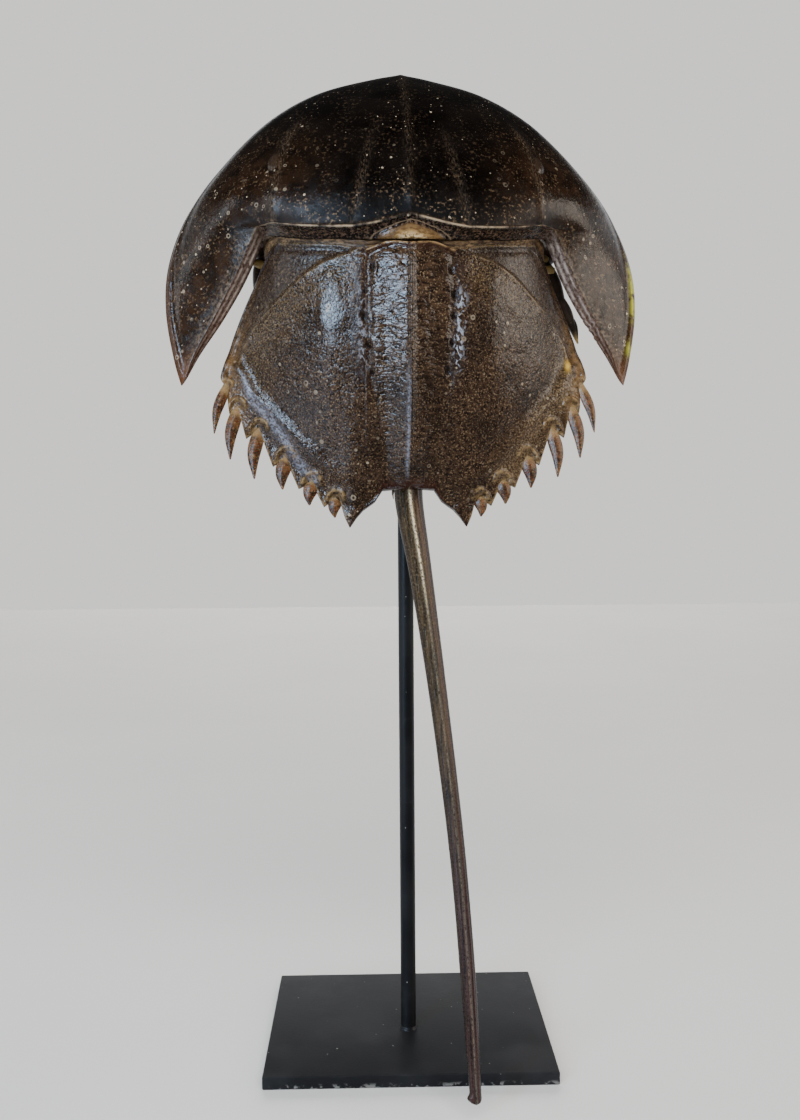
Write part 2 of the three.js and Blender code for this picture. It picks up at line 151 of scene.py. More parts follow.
# The stand and the studio, in metres and watts.
PLATE_BEVEL, WELD_HEIGHT, WELD_FLARE, ROD_SIDES = 0.0007, 0.0011, (1.22, 1.02), 48
SHARP_EDGE, SHARP_WELD = math.radians(35), math.radians(60)
PLATE_DUST, ROD_DUST = 2.6, 1.4
FLOOR_SIZE = 3.2
STUDIO_LIGHTS = [  # name, place, target, size, power, colour, seen in the gloss, lighting the colours
    ("window_left", (-0.79, -1.04, 0.55), (0, 0, 0.28), (0.30, 0.70), 15, (0.55, 0.75, 1.0), True, True),
    ("window_low", (-0.56, -0.52, 0.10), (0, 0, 0.25), (0.20, 0.16), 0.15, (0.52, 0.73, 1.0), True, True),
    ("low_left", (-0.452, -0.143, 0.079), (-0.05, -0.02, 0.24), (0.10, 0.14), 0.16, (0.70, 0.80, 1.0),
     True, False),
    ("low_front", (-0.31, -0.25, 0.035), (0, -0.03, 0.245), (0.16, 0.055), 0.13, (0.62, 0.78, 1.0), True, False),
    ("wall_right", (1.15, -0.26, 0.58), (0.08, 0, 0.30), (0.6, 0.72), 5.0, (1.0, 0.91, 0.80), True, True),
    ("strip_left", (-1.15, -0.16, 0.68), (-0.08, 0, 0.30), (0.14, 0.55), 1.1, (0.9, 0.95, 1.0), True, True),
    ("front_soft", (0.1, -1.9, 2.0), (0, 0, 0.1), (2.6, 2.0), 100, (1.0, 0.98, 0.95), False, True),
    ("behind", (0, 2.0, 1.2), (0, 0, 0.1), (2.4, 1.4), 50, (1.0, 0.98, 0.95), False, True),
]
# How the surround's light fades over the height and the depth of a direction: from, to, and both strengths.
SURROUND_FADE = {"Z": (0.30, 0.52, 1, 0.03), "Y": (-0.25, 0.45, 0.03, 0.9)}
SURROUND_COLOUR, BACKDROP_COLOUR = (0.96, 0.98, 1.0, 1), (1.0, 0.985, 0.96, 1)

# The photograph's camera, in the stand's frame.
CAMERA_PLACE = (-0.0115, -0.4339, 0.2208)
CAMERA_YAW, CAMERA_PITCH, CAMERA_ROLL = 1.25, 3.78, 0.38
CAMERA_SENSOR = 36
CAMERA_LENS = CAMERA_SENSOR * 1100 / 1120
CAMERA_RANGE = (0.01, 50)


class CrabSizes(bpy.types.PropertyGroup):
    """Sizes of the animal's pose and of the relief on its shields."""
    lean: FloatProperty(name="Lean", description="How far the back leans out of the upright",
                        default=math.radians(12.5), subtype="ANGLE")
    turn: FloatProperty(name="Turn", description="How far the animal is turned on its rod",
                        default=math.radians(2.5), subtype="ANGLE")
    place: FloatVectorProperty(name="Place", description="Where the animal's own origin sits over the plate",
                               default=(-0.0002, 0.0015, 0.302), subtype="XYZ", unit="LENGTH")
    rear_bead: FloatProperty(name="Rear bead", description="Height of the raised rim over the hinge",
                             default=0.0009, unit="LENGTH")
    eye_height: FloatProperty(name="Eye height", description="How far the compound eyes stand out",
                              default=0.0014, unit="LENGTH")
    keel_height: FloatProperty(name="Keel height", description="Height of the keel on the rear shield",
                               default=0.001, unit="LENGTH")
    axis_height: FloatProperty(name="Axis height", description="Height of the roof along the rear shield",
                               default=0.0032, unit="LENGTH")
    pit_depth: FloatProperty(name="Pit depth", description="Depth of the pits beside the rear shield's axis",
                             default=0.0013, unit="LENGTH")
    shelf_depth: FloatProperty(name="Shelf depth", description="Drop of the smooth shelf ahead of the ridge",
                               default=0.0012, unit="LENGTH")
    sections: IntProperty(name="Sections", description="Sections across each shield", default=480)


class CrabColours(bpy.types.PropertyGroup):
    """Main colours of the shields, spines, limbs and stand."""
    shell_dark: FloatVectorProperty(name="Dark shell", description="Front shield over the middle",
                                    default=(0.0020, 0.0014, 0.0011), subtype="COLOR", min=0, max=1)
    shell_brown: FloatVectorProperty(name="Brown shell", description="Front shield on the wings",
                                     default=(0.030, 0.0145, 0.0072), subtype="COLOR", min=0, max=1)
    speckle: FloatVectorProperty(name="Speckle", description="Pale specks and rings on the shields",
                                 default=(0.50, 0.40, 0.28), subtype="COLOR", min=0, max=1)
    # The rear colours follow the wrinkles: dark in their grooves, partly painted shade, and golden on their ridges,
    # partly painted highlight.
    rear_dark: FloatVectorProperty(name="Dark rear", description="Hollows of the rear shield",
                                   default=(0.0095, 0.0056, 0.0041), subtype="COLOR", min=0, max=1)
    rear_gold: FloatVectorProperty(name="Golden rear", description="Fine wrinkles of the rear shield",
                                   default=(0.061, 0.033, 0.0175), subtype="COLOR", min=0, max=1)
    amber: FloatVectorProperty(name="Amber", description="Rims, sockets and side spines",
                               default=(0.165, 0.090, 0.036), subtype="COLOR", min=0, max=1)
    skin: FloatVectorProperty(name="Hinge skin", description="Golden skin between the shields",
                              default=(0.250, 0.150, 0.072), subtype="COLOR", min=0, max=1)
    tail: FloatVectorProperty(name="Tail", description="Bronze of the tail spine",
                              default=(0.055, 0.034, 0.013), subtype="COLOR", min=0, max=1)
    limb: FloatVectorProperty(name="Limbs", description="Walking legs and mouth claws",
                              default=(0.040, 0.024, 0.015), subtype="COLOR", min=0, max=1)
    gill: FloatVectorProperty(name="Gill covers", description="Leathery flaps under the rear shield",
                              default=(0.210, 0.140, 0.080), subtype="COLOR", min=0, max=1)
    paint: FloatVectorProperty(name="Paint", description="Black paint of the stand",
                               default=(0.0045, 0.0045, 0.0048), subtype="COLOR", min=0, max=1)
    floor: FloatVectorProperty(name="Floor", description="Pale studio floor",
                               default=(0.72, 0.71, 0.69), subtype="COLOR", min=0, max=1)


# ---------------------------------------------------------------- curves and reliefs

def smooth_line(points, steps=24):
    """A close row of points on the smooth curve through these points."""
    p = np.array(points, float)
    p = np.vstack((2 * p[0] - p[1], p, 2 * p[-1] - p[-2]))
    gap = np.sqrt(np.linalg.norm(np.diff(p, axis=0), axis=1))
    t = np.linspace(0, 1, steps, endpoint=False)[:, None]
    rows = []
    for i in range(1, len(p) - 2):
        a, b, c = gap[i - 1:i + 2]
        first = b * ((p[i] - p[i - 1]) / a - (p[i + 1] - p[i - 1]) / (a + b) + (p[i + 1] - p[i]) / b)
        last = b * ((p[i + 1] - p[i]) / b - (p[i + 2] - p[i]) / (b + c) + (p[i + 2] - p[i + 1]) / c)
        rows.append((2 * t**3 - 3 * t**2 + 1) * p[i] + (t**3 - 2 * t**2 + t) * first
                    + (3 * t**2 - 2 * t**3) * p[i + 1] + (t**3 - t**2) * last)
    return np.vstack((*rows, p[-2:-1]))


def walk(line, share):
    """The points that lie at these shares of a line's length."""
    steps = np.linalg.norm(np.diff(line, axis=0), axis=1)
    length = np.concatenate(([0], np.cumsum(steps)))
    return np.stack([np.interp(share * length[-1], length, line[:, k]) for k in range(line.shape[1])], axis=-1)


def smooth_read(points, k, x):
    """Column k of a row of points, read smoothly over their first column."""
    px, py = np.array(points, float)[:, [0, k]].T
    slope = np.gradient(py, px)
    slope[0] = 0
    i = np.clip(np.searchsorted(px, x) - 1, 0, len(px) - 2)
    step = px[i + 1] - px[i]
    t = np.clip((x - px[i]) / step, 0, 1)
    bend = step * t * (1 - t) * (slope[i] * (1 - t) - slope[i + 1] * t)
    return py[i] + (py[i + 1] - py[i]) * (t * t * (3 - 2 * t)) + bend


def read(points, x):
    """The second column of a row of points, read straight over their first column."""
    return np.interp(x, *np.array(points, float).T)


def from_line(a, b, points):
    """Distance of flat points from a broken line, signed: positive to the right of the line's run."""
    best = np.full(a.shape, 1e9)
    sign = np.ones(a.shape)
    for (x0, y0), (x1, y1) in zip(points[:-1], points[1:]):
        dx, dy = x1 - x0, y1 - y0
        t = np.clip(((a - x0) * dx + (b - y0) * dy) / (dx * dx + dy * dy), 0, 1)
        away = np.hypot(a - x0 - t * dx, b - y0 - t * dy)
        nearer = away < best
        sign = np.where(nearer, -np.sign((b - y0) * dx - (a - x0) * dy), sign)
        best = np.minimum(best, away)
    return best * sign


def bell(distance, width):
    """A round bump, 1 in the middle and a third of that at this width."""
    return np.exp(-(distance / width) ** 2)


def rise(x, low, high):
    """A soft step from 0 at low to 1 at high."""
    t = np.clip((x - low) / (high - low), 0, 1)
    return t * t * (3 - 2 * t)


def lerp(a, b, t):
    """The share t of the way from a to b."""
    return a + (b - a) * t


def between(x, start, full, fade, end):
    """1 from full to fade, going softly to 0 at start and at end."""
    return rise(x, start, full) * rise(-x, -end, -fade)


def beads(distance, rows):
    """Raised and sunk lines beside an edge: the height, distance and width of each."""
    return sum(height * bell(distance - place, width) for height, place, width in rows)


def oval(a, b, middle, reach):
    """Distance from the middle of an oval, 1 on its edge."""
    return np.hypot((a - middle[0]) / reach[0], (b - middle[1]) / reach[1])


def part_of(v, start, end):
    """How much of the way from start to end is done, from 0 to 1."""
    return np.clip((v - start) / (end - start), 0, 1)


def ripple(p, size):
    """Soft irregular waves of about this size, from -1 to 1."""
    total = 0
    for k in range(1, 8):
        way = np.array((math.cos(2.4 * k), math.sin(2.4 * k), math.sin(1.3 * k)))[:p.shape[1]]
        total = total + np.sin(p @ way * (2 * math.pi / size) * (0.6 + 0.12 * k) + 1.7 * k)
    return total / 7


def along(line, share):
    """Places, and the sideways and upwards directions, along a route with its back to +z."""
    place = walk(line, share)
    ahead = walk(line, np.minimum(share + 0.002, 1)) - walk(line, np.maximum(share - 0.002, 0))
    ahead /= np.linalg.norm(ahead, axis=1)[:, None]
    across = np.cross(ahead, (0, 0, 1))
    across /= np.linalg.norm(across, axis=1)[:, None]
    return place, across, np.cross(across, ahead)


# ---------------------------------------------------------------- making meshes

def sizes():
    """The sizes set in the panel."""
    return bpy.context.scene.crab_sizes


def colours():
    """The colours set in the panel."""
    return bpy.context.scene.crab_colours


def animal_turn():
    """Turns directions in the animal's own frame into the stand's frame."""
    s = sizes()
    return Matrix.Rotation(s.turn, 3, "Z") @ Matrix.Rotation(math.pi / 2 - s.lean, 3, "X")


def on_stand(points):
    """Millimetres in the animal's frame, as metres in the stand's frame."""
    return points * MM @ np.array(animal_turn()).T + np.array(sizes().place)


def bare_selection():
    """Leaves edit mode and selects nothing."""
    if bpy.context.object and bpy.context.object.mode != "OBJECT":
        bpy.ops.object.mode_set(mode="OBJECT")
    bpy.ops.object.select_all(action="DESELECT")


def grid_piece(name, grid, shape):
    """A grid whose points shape(u, v) lays out in the animal's frame, welded and turned outwards.

    shape returns the points and a dict of named amounts, one per point, that the finish reads.
    """
    bare_selection()
    bpy.ops.mesh.primitive_grid_add(x_subdivisions=grid[0], y_subdivisions=grid[1], size=1, location=(0, 0, 0))
    piece = bpy.context.object
    piece.name = piece.data.name = name
    mesh = piece.data
    flat = np.empty(len(mesh.vertices) * 3, np.float32)
    mesh.vertices.foreach_get("co", flat)
    u, v = (flat.reshape(-1, 3)[:, :2].T.astype(float) + 0.5).clip(0, 1)
    points, amounts = shape(u, v)
    mesh.vertices.foreach_set("co", on_stand(points).astype(np.float32).ravel())
    for word, amount in amounts.items():
        layer = mesh.attributes.new(word, "FLOAT", "POINT")
        layer.data.foreach_set("value", np.clip(amount, 0, 1).astype(np.float32))
    weld(piece)
    return piece


def weld(piece):
    """Merges doubles, turns the faces outwards and shades them smooth."""
    bpy.ops.object.mode_set(mode="EDIT")
    bpy.ops.mesh.select_all(action="SELECT")
    bpy.ops.mesh.remove_doubles(threshold=WELD_GAP)
    bpy.ops.mesh.normals_make_consistent(inside=False)
    bpy.ops.object.mode_set(mode="OBJECT")
    bpy.ops.object.shade_smooth()
    volume = sum(f.area * f.normal.dot(f.center - piece.data.vertices[0].co) for f in piece.data.polygons)
    if volume < 0:
        raise RuntimeError(f"{piece.name} came out inside out")


def join(pieces, name):
    """Joins pieces into the first one."""
    bare_selection()
    for piece in pieces:
        piece.select_set(True)
    bpy.context.view_layer.objects.active = pieces[0]
    bpy.ops.object.join()
    joined = bpy.context.object
    joined.name = joined.data.name = name
    return joined


def place_piece(piece, node, finish):
    """Gives a piece its finish and its body, and hides the CAD node it stands for."""
    piece.data.materials.clear()
    piece.data.materials.append(finish)
    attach(piece, "root")
    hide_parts(node)


def set_along(piece, value):
    """Gives all points of a bar one amount along it."""
    piece.data.attributes["along"].data.foreach_set("value", np.full(len(piece.data.vertices), value, np.float32))


def bar(name, route, half_widths, grid, flat=1.0, ridge=0.0):
    """A round or flattened bar along a route, closed to a point at both ends."""
    line = smooth_line(route)
    widths = np.column_stack((np.linspace(0, 1, len(half_widths)), half_widths))

    def shape(u, v):
        share = lerp(u, 0.5 - 0.5 * np.cos(math.pi * u), 0.35)
        place, across, up = along(line, share)
        width = smooth_read(widths, 1, share) * rise(u, -0.0001, 0.02) ** 0.5 * rise(1 - u, -0.0001, 0.02) ** 0.5
        width = np.where((u <= 0) | (u >= 1), 0, width)
        turn = 2 * math.pi * (v % 1)
        lift = np.sin(turn) * flat + ridge * bell(turn - math.pi / 2, 0.35)
        points = place + (np.cos(turn) * width)[:, None] * across + (lift * width)[:, None] * up
        return points, {"along": share}

    return grid_piece(name, grid, shape)


# ---------------------------------------------------------------- front shield

RIM_LINE = smooth_line(FRONT_RIM)
CREST_LINE, WING_CREST_LINE = smooth_line(FRONT_CREST), smooth_line(WING_CREST)
LIP_LINE, WING_LIP_LINE = smooth_line(FRONT_LIP), smooth_line(WING_LIP)
# Shares of a shield's section loop: the back, the edge, the underside, and last the face at the hinge.
TOP_END, EDGE_END, FLOOR_END = 0.60, 0.64, 0.90


def inner_edge(hinge, wing, part):
    """An inner edge of the front shield: along the hinge first, then along the wing."""
    on_hinge, on_wing = walk(hinge, part_of(part, 0, WING_CORNER)), walk(wing, part_of(part, WING_CORNER, 1))
    return np.where((part <= WING_CORNER)[:, None], on_hinge, on_wing)


def front_relief(a, b, inward, outward, bead):
    """Beads, keel, furrows, eye ridges and eyes of the front shield, in millimetres."""
    s = sizes()
    ridge_away = from_line(a, b, EYE_RIDGE)
    lines = {
        "keel": bell(a, 1.5) * between(b, 3, 12, 72, 84),
        "furrow": bell(a - (20.8 - 0.2 * b), 1.6) * rise(48 - b, 0, 25),
        "ridge": bell(ridge_away, 1.5) * rise(54 - b, 0, 14),
    }
    height = bead * beads(inward, [(s.rear_bead / MM, 0.5, 0.75), HINGE_FURROW]) + beads(outward, RIM_BEADS)
    height += 0.4 * lines["keel"] - 0.35 * lines["furrow"] + 0.5 * lines["ridge"]
    for knot in KEEL_KNOTS:
        height += 0.3 * bell(a, 1.6) * bell(b - knot, 2.4)
    height -= 0.9 * between(ridge_away, 0.5, 5, 6, 20) * rise(60 - b, 0, 20)
    eye = oval(a + EYE_SKEW * (b - EYE[1]), b, EYE, EYE_REACH)
    height += s.eye_height / MM * np.sqrt(np.clip(1 - eye**2, 0, 1))
    height += 0.3 * ripple(np.stack((a, b), 1), 22) * rise(inward, 1, 9) * rise(outward, 1, 9)
    return height, lines, eye


def front_shell_shape(u, v):
    """The front shield: from tip to tip over u, and once round its section over v."""
    place = 2 * u - 1
    side = np.where(place < 0, -1.0, 1.0)
    part = np.abs(place) * WING_END
    rim = walk(RIM_LINE, part)
    crest = inner_edge(CREST_LINE, WING_CREST_LINE, part)
    lip = inner_edge(LIP_LINE, WING_LIP_LINE, part)
    ragged = np.clip(ripple(part[:, None] * [[900.0, 0]], 5), 0, 1)
    for edge in (crest, lip):
        edge[:, 0] += CHIP_DEPTH * bell(part - CHIP_SHARE, CHIP_WIDTH) * (side > 0) * ragged

    s = part_of(v, 0, TOP_END)
    r = 0.45 * s + 0.55 * rise(s, 0, 1)
    plan = lerp(crest[:, :2], rim, r[:, None])
    reach = np.linalg.norm(rim - crest[:, :2], axis=1)
    bead = (1 - 0.75 * rise(part, *WING_BLEND)) * (1 - 0.9 * bell(part - 0.685, 0.04))
    inward, outward = r * reach, (1 - r) * reach
    relief, lines, eye = front_relief(plan[:, 0], plan[:, 1], inward, outward, bead)
    settled = rise(1 - part, 0.0, 0.05)
    flat = rise(part, 0.5, 0.8)
    fullness, roundness = lerp(DOME_FULLNESS, WING_FULLNESS, flat), lerp(DOME_ROUNDNESS, WING_ROUNDNESS, flat)
    height = lerp(RIM_HEIGHT, crest[:, 2], (1 - r**fullness) ** roundness) + relief * settled
    points = np.column_stack((plan, height))

    t = part_of(v, TOP_END, EDGE_END)
    out = (rim - crest[:, :2]) / np.maximum(reach, 0.5)[:, None]
    at_edge = np.column_stack((rim + out * (0.45 * np.sin(math.pi * t))[:, None], height * (1 - t)))
    points = np.where((v > TOP_END)[:, None], at_edge, points)

    t = part_of(v, EDGE_END, FLOOR_END)
    back = (1 - t) ** 1.6
    plan = lerp(lip[:, :2], rim, back[:, None])
    sag = 0.8 * ripple(plan, 9) * between(t, 0.25, 0.5, 0.7, 0.98)
    floor = np.column_stack((plan, lip[:, 2] * smooth_read(FRONT_FLOOR, 1, back) + sag))
    points = np.where((v > EDGE_END)[:, None], floor, points)

    t = part_of(v, FLOOR_END, 1)
    band = lerp(lip, crest, t[:, None])
    lens = np.clip(1 - (lip[:, 0] / LENS_HALF) ** 2, 0, 1) * (part < 0.3)
    arch = np.hypot(lip[:, 0] / LENS_HALF, t / LENS_TALL) + (part > 0.3)
    swell = 2.2 * np.sqrt(np.clip(1 - arch**2, 0, 1)) * rise(t, 0, 0.15)
    swell -= 0.5 * (1 - lens) * settled * np.sin(math.pi * t)
    on_wing = rise(part, *WING_BLEND) * settled
    ribs = on_wing * beads(t, WING_RIBS)
    swell += 0.5 * ribs
    start, _, _ = front_relief(crest[:, 0], crest[:, 1], 0 * t, reach, bead)
    band += np.column_stack((0 * t, -0.6 * swell, 0.8 * swell + start * settled * t**2))
    points = np.where((v > FLOOR_END)[:, None], band, points)

    points = lerp(points, np.array(WING_TIP), part_of(np.abs(place), WING_CLOSE, 1)[:, None])
    a, b, rim_b = points[:, 0], points[:, 1], rim[:, 1]
    on_top, on_band = v <= TOP_END, v > FLOOR_END
    moss = between(rim_b, -21, -12, -2, 12) + 0.8 * bell(rim_b + 29, 3)
    top_amounts = {
        "wing": np.maximum(rise(a, 46, 70) * rise(30 - b, 0, 30), 0.65 * rise(a, 20, 50) * rise(60 - b, 0, 40)),
        # line: pale lines along the inner edge, eye ridges, furrows, keel and rim: worn, partly painted highlight
        "line": np.maximum.reduce((bell(inward, 1.4), 0.7 * lines["ridge"], 0.5 * lines["furrow"],
                                   0.35 * lines["keel"], 0.5 * bell(outward, 1.2))),
        # crest: pale line on the rim bead over the hinge, worn and partly a painted highlight
        "crest": bell(inward - 0.5, 0.42) * lerp(1, 0.25, rise(part, 0.62, 0.7)),
        "dust": bell(inward, 12) * rise(0.8 - part, 0, 0.3),
        "inner": bell(inward, 4.5) * on_wing,
        "eye": rise(1.15 - eye, 0, 0.35),
    }
    band_amounts = {
        "band": np.sin(math.pi * t) ** 0.5,
        "ribs": ribs,
        "bevel": rise(part, 0.62, 0.72) * rise(1 - part, 0, 0.2),
    }
    amounts = {
        **{name: on_top * amount for name, amount in top_amounts.items()},
        **{name: on_band * amount for name, amount in band_amounts.items()},
        "arch": np.where(on_band, np.clip(arch / 2, 0, 1), 1),
        "tip": np.maximum(rise(part, 0.9, 1), 0.55 * bell(outward, 1.6) * rise(part, 0.6, 0.9)),
        "moss": (v < EDGE_END) * (side > 0) * bell(outward - 0.5, 1.3) * moss,
        "under": (v > EDGE_END) & (v <= FLOOR_END),
    }
    points[:, 0] *= side
    return points, amounts


# ---------------------------------------------------------------- rear shield

FEET = [[foot[0], foot[1] + 1.2, 2.4] for foot, _, _ in SIDE_SPINES][::-1]
PLAIN_EDGE = [*NOTCH, LOBE_MIDDLE, *FEET, REAR_END]
TOOTHED_EDGE = sorted(p[:2] for p in (NOTCH[0], *LOBE_EDGE, *FEET, *TEETH, REAR_END))
FLANK_EDGE = [p[:2] for p in REAR_FRONT[7:]]
MARGIN_EDGE = [p[:2] for p in PLAIN_EDGE[3:]]
# The line along the left rim where the painted sheen lies, mirrored for the brass on the right.
FLANGE_LINE = [[61.8, -39.8], [60.4, -45], [57.8, -51], [52.2, -57], [46.2, -65.6], [40.6, -75], [34.8, -81]]
AXIS_HALF = [[-90, 5.5], [-82, 6.5], [-66, 10.5], [-47, 14.8], [-20, 15.4], [0, 14.4]]


def rear_relief(a, b, r, ahead, side):
    """Axis, keel, pits, shelf, flange, beads and sockets of the rear shield, in millimetres."""
    s = sizes()
    fade = np.sin(math.pi * np.clip(r + 0.3 * (1 - r) ** 4, 0, 1)) ** 0.5
    half = read(AXIS_HALF, b)
    roof = np.clip(1 - a / half, 0, 1)
    upper = rise(b, -60, -46)
    height = fade * (s.axis_height / MM * roof * (1 + 0.45 * (1 - r) ** 2) + s.keel_height / MM * bell(a, 1.1))
    height -= 0.9 * bell(a - half, 1.6) * upper * rise(ahead, 1, 6)
    height += 1.7 * bell(a - 29, 8) * rise(ahead, 4, 18) * rise(b, -72, -40)
    place = np.stack((a * side, b), 1)
    pit = np.zeros(a.shape)
    for half_of, pits in PITS.items():
        for x, y, radius in pits:
            away = np.hypot(a - x, (b - y) / 1.3) + 0.5 * ripple(place, 3.5)
            pit = np.maximum(pit, (side == half_of) * bell(away, radius))
            height += (side == half_of) * 0.35 * bell(away - 2.0 * radius, 0.55)
    height -= s.pit_depth / MM * pit
    on_axis, scar = rise(half - a, 0, 2), bell(a - half - 2.5, 3.2) * rise(ahead, 3, 8) * upper
    height += fade * (0.06 * on_axis * ripple(place * (0.45, 1), 2.3) + 0.035 * (1 - on_axis) * ripple(place, 2.6))
    height += 0.14 * scar * ripple(place, 3.2)
    shelf_away = from_line(a, b, SHELF_RIDGE)
    shelf = rise(-shelf_away, 0, 1.6) * rise(a, 12, 17)
    height += 0.4 * bell(shelf_away, 1.0) * rise(a, 10, 17) - s.shelf_depth / MM * shelf
    margin = np.abs(from_line(a, b, MARGIN_EDGE))
    flank = np.abs(from_line(a, b, FLANK_EDGE))
    height += rise(a, 20, 30) * beads(margin, MARGIN_BEADS)
    height += beads(flank, FLANK_BEADS) + beads(ahead, REAR_HINGE_BEADS)
    ring = np.zeros(a.shape)
    for (x, y), _, width in SIDE_SPINES:
        away = np.hypot(a - x, b - y - 0.4)
        ring = np.maximum(ring, bell(away - width * 0.62, 0.75) * rise(b - y, -0.8, 0.8))
    height += 1.1 * ring
    height += 1.6 * bell(oval(a, b, *END_SWELL), 1)
    height += 0.22 * ripple(np.stack((a, b), 1), 13) * between(r, 0.05, 0.2, 0.85, 0.97)
    marks = {"pit": pit, "shelf": shelf, "ring": ring, "margin": margin, "flank": flank, "half": half, "scar": scar,
             "gilt": bell(shelf_away - 5, 8) * rise(a, 16, 24), "fold": bell(shelf_away, 0.45) * rise(a, 15, 22)}
    return height, marks


def hinge_lobes(a):
    """The two round lobes at the hinge, 0 between them and 1 on them."""
    return np.sin(math.pi * np.clip(a / HINGE_LOBE, 0, 1)) ** 0.6


def rear_shell_shape(u, v):
    """The rear shield: from side to side over u, and once round its section over v."""
    t = 2 * u - 1
    x = REAR_END[0] * lerp(t, np.sin(t * math.pi / 2), 0.25)
    side, a = np.where(x < 0, -1.0, 1.0), np.abs(x)
    y0, z0 = smooth_read(REAR_FRONT, 1, a), smooth_read(REAR_FRONT, 2, a)
    y0 += np.where(a < HINGE_LOBE, 1.5 * hinge_lobes(a) - 1.5, 0) * rise(17 - a, 0, 1)
    y1, z1 = smooth_read(PLAIN_EDGE, 1, a), smooth_read(PLAIN_EDGE, 2, a)
    tooth = read(TOOTHED_EDGE, a)
    bulge = REAR_BULGE * (1 - (a / REAR_END[0]) ** 3)

    s = part_of(v, 0, TOP_END)
    b = lerp(y0, tooth, 0.55 * s + 0.45 * rise(s, 0, 1))
    r = np.clip((y0 - b) / (y0 - y1), 0, 1)
    relief, marks = rear_relief(a, b, r, y0 - b, side)
    settled = rise(REAR_END[0] - a, 0, 4)
    beyond = np.clip((y1 - b) / 6, 0, 1)
    top = lerp(z0, z1, r) + bulge * (4 * r * (1 - r)) ** 0.8 + relief * settled - 0.8 * beyond
    plane = FACET_PLACE[2] + FACET_SLOPE[0] * (a - FACET_PLACE[0]) + FACET_SLOPE[1] * (b - FACET_PLACE[1])
    top = lerp(top, plane, (side < 0) * (1 - rise(oval(a, b, *FACET), 0.5, 1.0)))

    turn, back, face = part_of(v, TOP_END, EDGE_END), part_of(v, EDGE_END, FLOOR_END), part_of(v, FLOOR_END, 1)
    below_b = lerp(tooth, y0, back)
    below_r = np.clip((y0 - below_b) / (y0 - y1), 0, 1)
    plain = lerp(z0, z1, below_r) + bulge * (4 * below_r * (1 - below_r)) ** 0.8
    wall = lerp(REAR_FRONT_WALL, REAR_WALL, below_r)
    below = np.maximum(0.15, plain - wall + 0.35 * ripple(np.stack((a, below_b), 1), 8) * below_r)

    b = np.where(v > TOP_END, tooth - 0.35 * np.sin(math.pi * turn), b)
    height = np.where(v > TOP_END, lerp(top, below, turn), top)
    b = np.where(v > EDGE_END, below_b, b)
    height = np.where(v > EDGE_END, below, height)
    b = np.where(v > FLOOR_END, y0 + 0.5 * np.sin(math.pi * face), b)
    start, _ = rear_relief(a, y0, 0 * a, 0 * a, side)
    height = np.where(v > FLOOR_END, lerp(below, z0 + start * settled, face), height)
    points = np.column_stack((a, b, height))
    collapse = np.clip((a - REAR_CLOSE[0]) / REAR_CLOSE[1], 0, 1)
    points = lerp(points, np.array(REAR_TIP), collapse[:, None])

    left, right, on_top = side < 0, side > 0, v <= EDGE_END
    flank, margin, flange = marks["flank"], marks["margin"], from_line(a, b, FLANGE_LINE)
    top_amounts = {
        **{name: marks[name] for name in ("pit", "shelf", "scar", "gilt", "fold")},
        "rim": np.clip(bell(flank, 4.2) * rise(-b, 12, 32) + bell(margin, 5) * rise(a, 56, 68)
                       + 0.5 * bell(flank, 1.5) * rise(-b, -2, 8), 0, 1),
        "outline": np.maximum.reduce((bell(flank, 0.8), 0.8 * bell(y0 - b, 1.1) * (a < 17),
                                      0.7 * bell(b - tooth, 0.8) * (a < 22))),
        "ring": np.maximum(marks["ring"], 0.7 * bell(b - tooth, 1.6) * (a > 23)),
        "hem": bell(y0 - b - 0.4, 0.45) * lerp(1, 0.6, rise(a, 15, 17)) * rise(51 - a, 0, 5),
        "polish": left * bell(oval(a, b, *POLISH), 1),
        # painted reflection: a pale bluish streak along the left rim, and a pale line along the keel's crest
        "sheen": left * np.maximum(bell(flange, 1.4) * rise(-b, 38, 47),
                                   0.7 * bell(a - 0.9, 0.7) * between(-b, 42, 56, 78, 85)),
        "brass": right * bell(flange, 4.5) * between(-b, 38, 47, 78, 86),
        # painted highlight: pale bluish glints beside the pits, stronger on the right
        "glint": np.where(right, 1, 0.5) * bell(a - 17.4 - 0.06 * (b + 35), 1.7) * between(-b, 17, 24, 42, 50),
        "axis": rise(marks["half"] + 1 - a, 0, 3),
        "flange": bell(np.minimum(flank, margin) - 8.5, 3.6) * rise(a, 26, 38) * rise(-b, 20, 40),
        "rust": np.maximum(bell(y0 - b, 1.6) * (a < 17), bell(b - tooth, 2.2) * rise(14 - a, 0, 4)),
        "spot": right * bell(oval(a, b, *YELLOW_SPOT), 1.0),
    }
    amounts = {"under": ~on_top, **{name: on_top * amount for name, amount in top_amounts.items()}}
    points[:, 0] *= side
    return points, amounts


# ---------------------------------------------------------------- skin, tail, spines, limbs

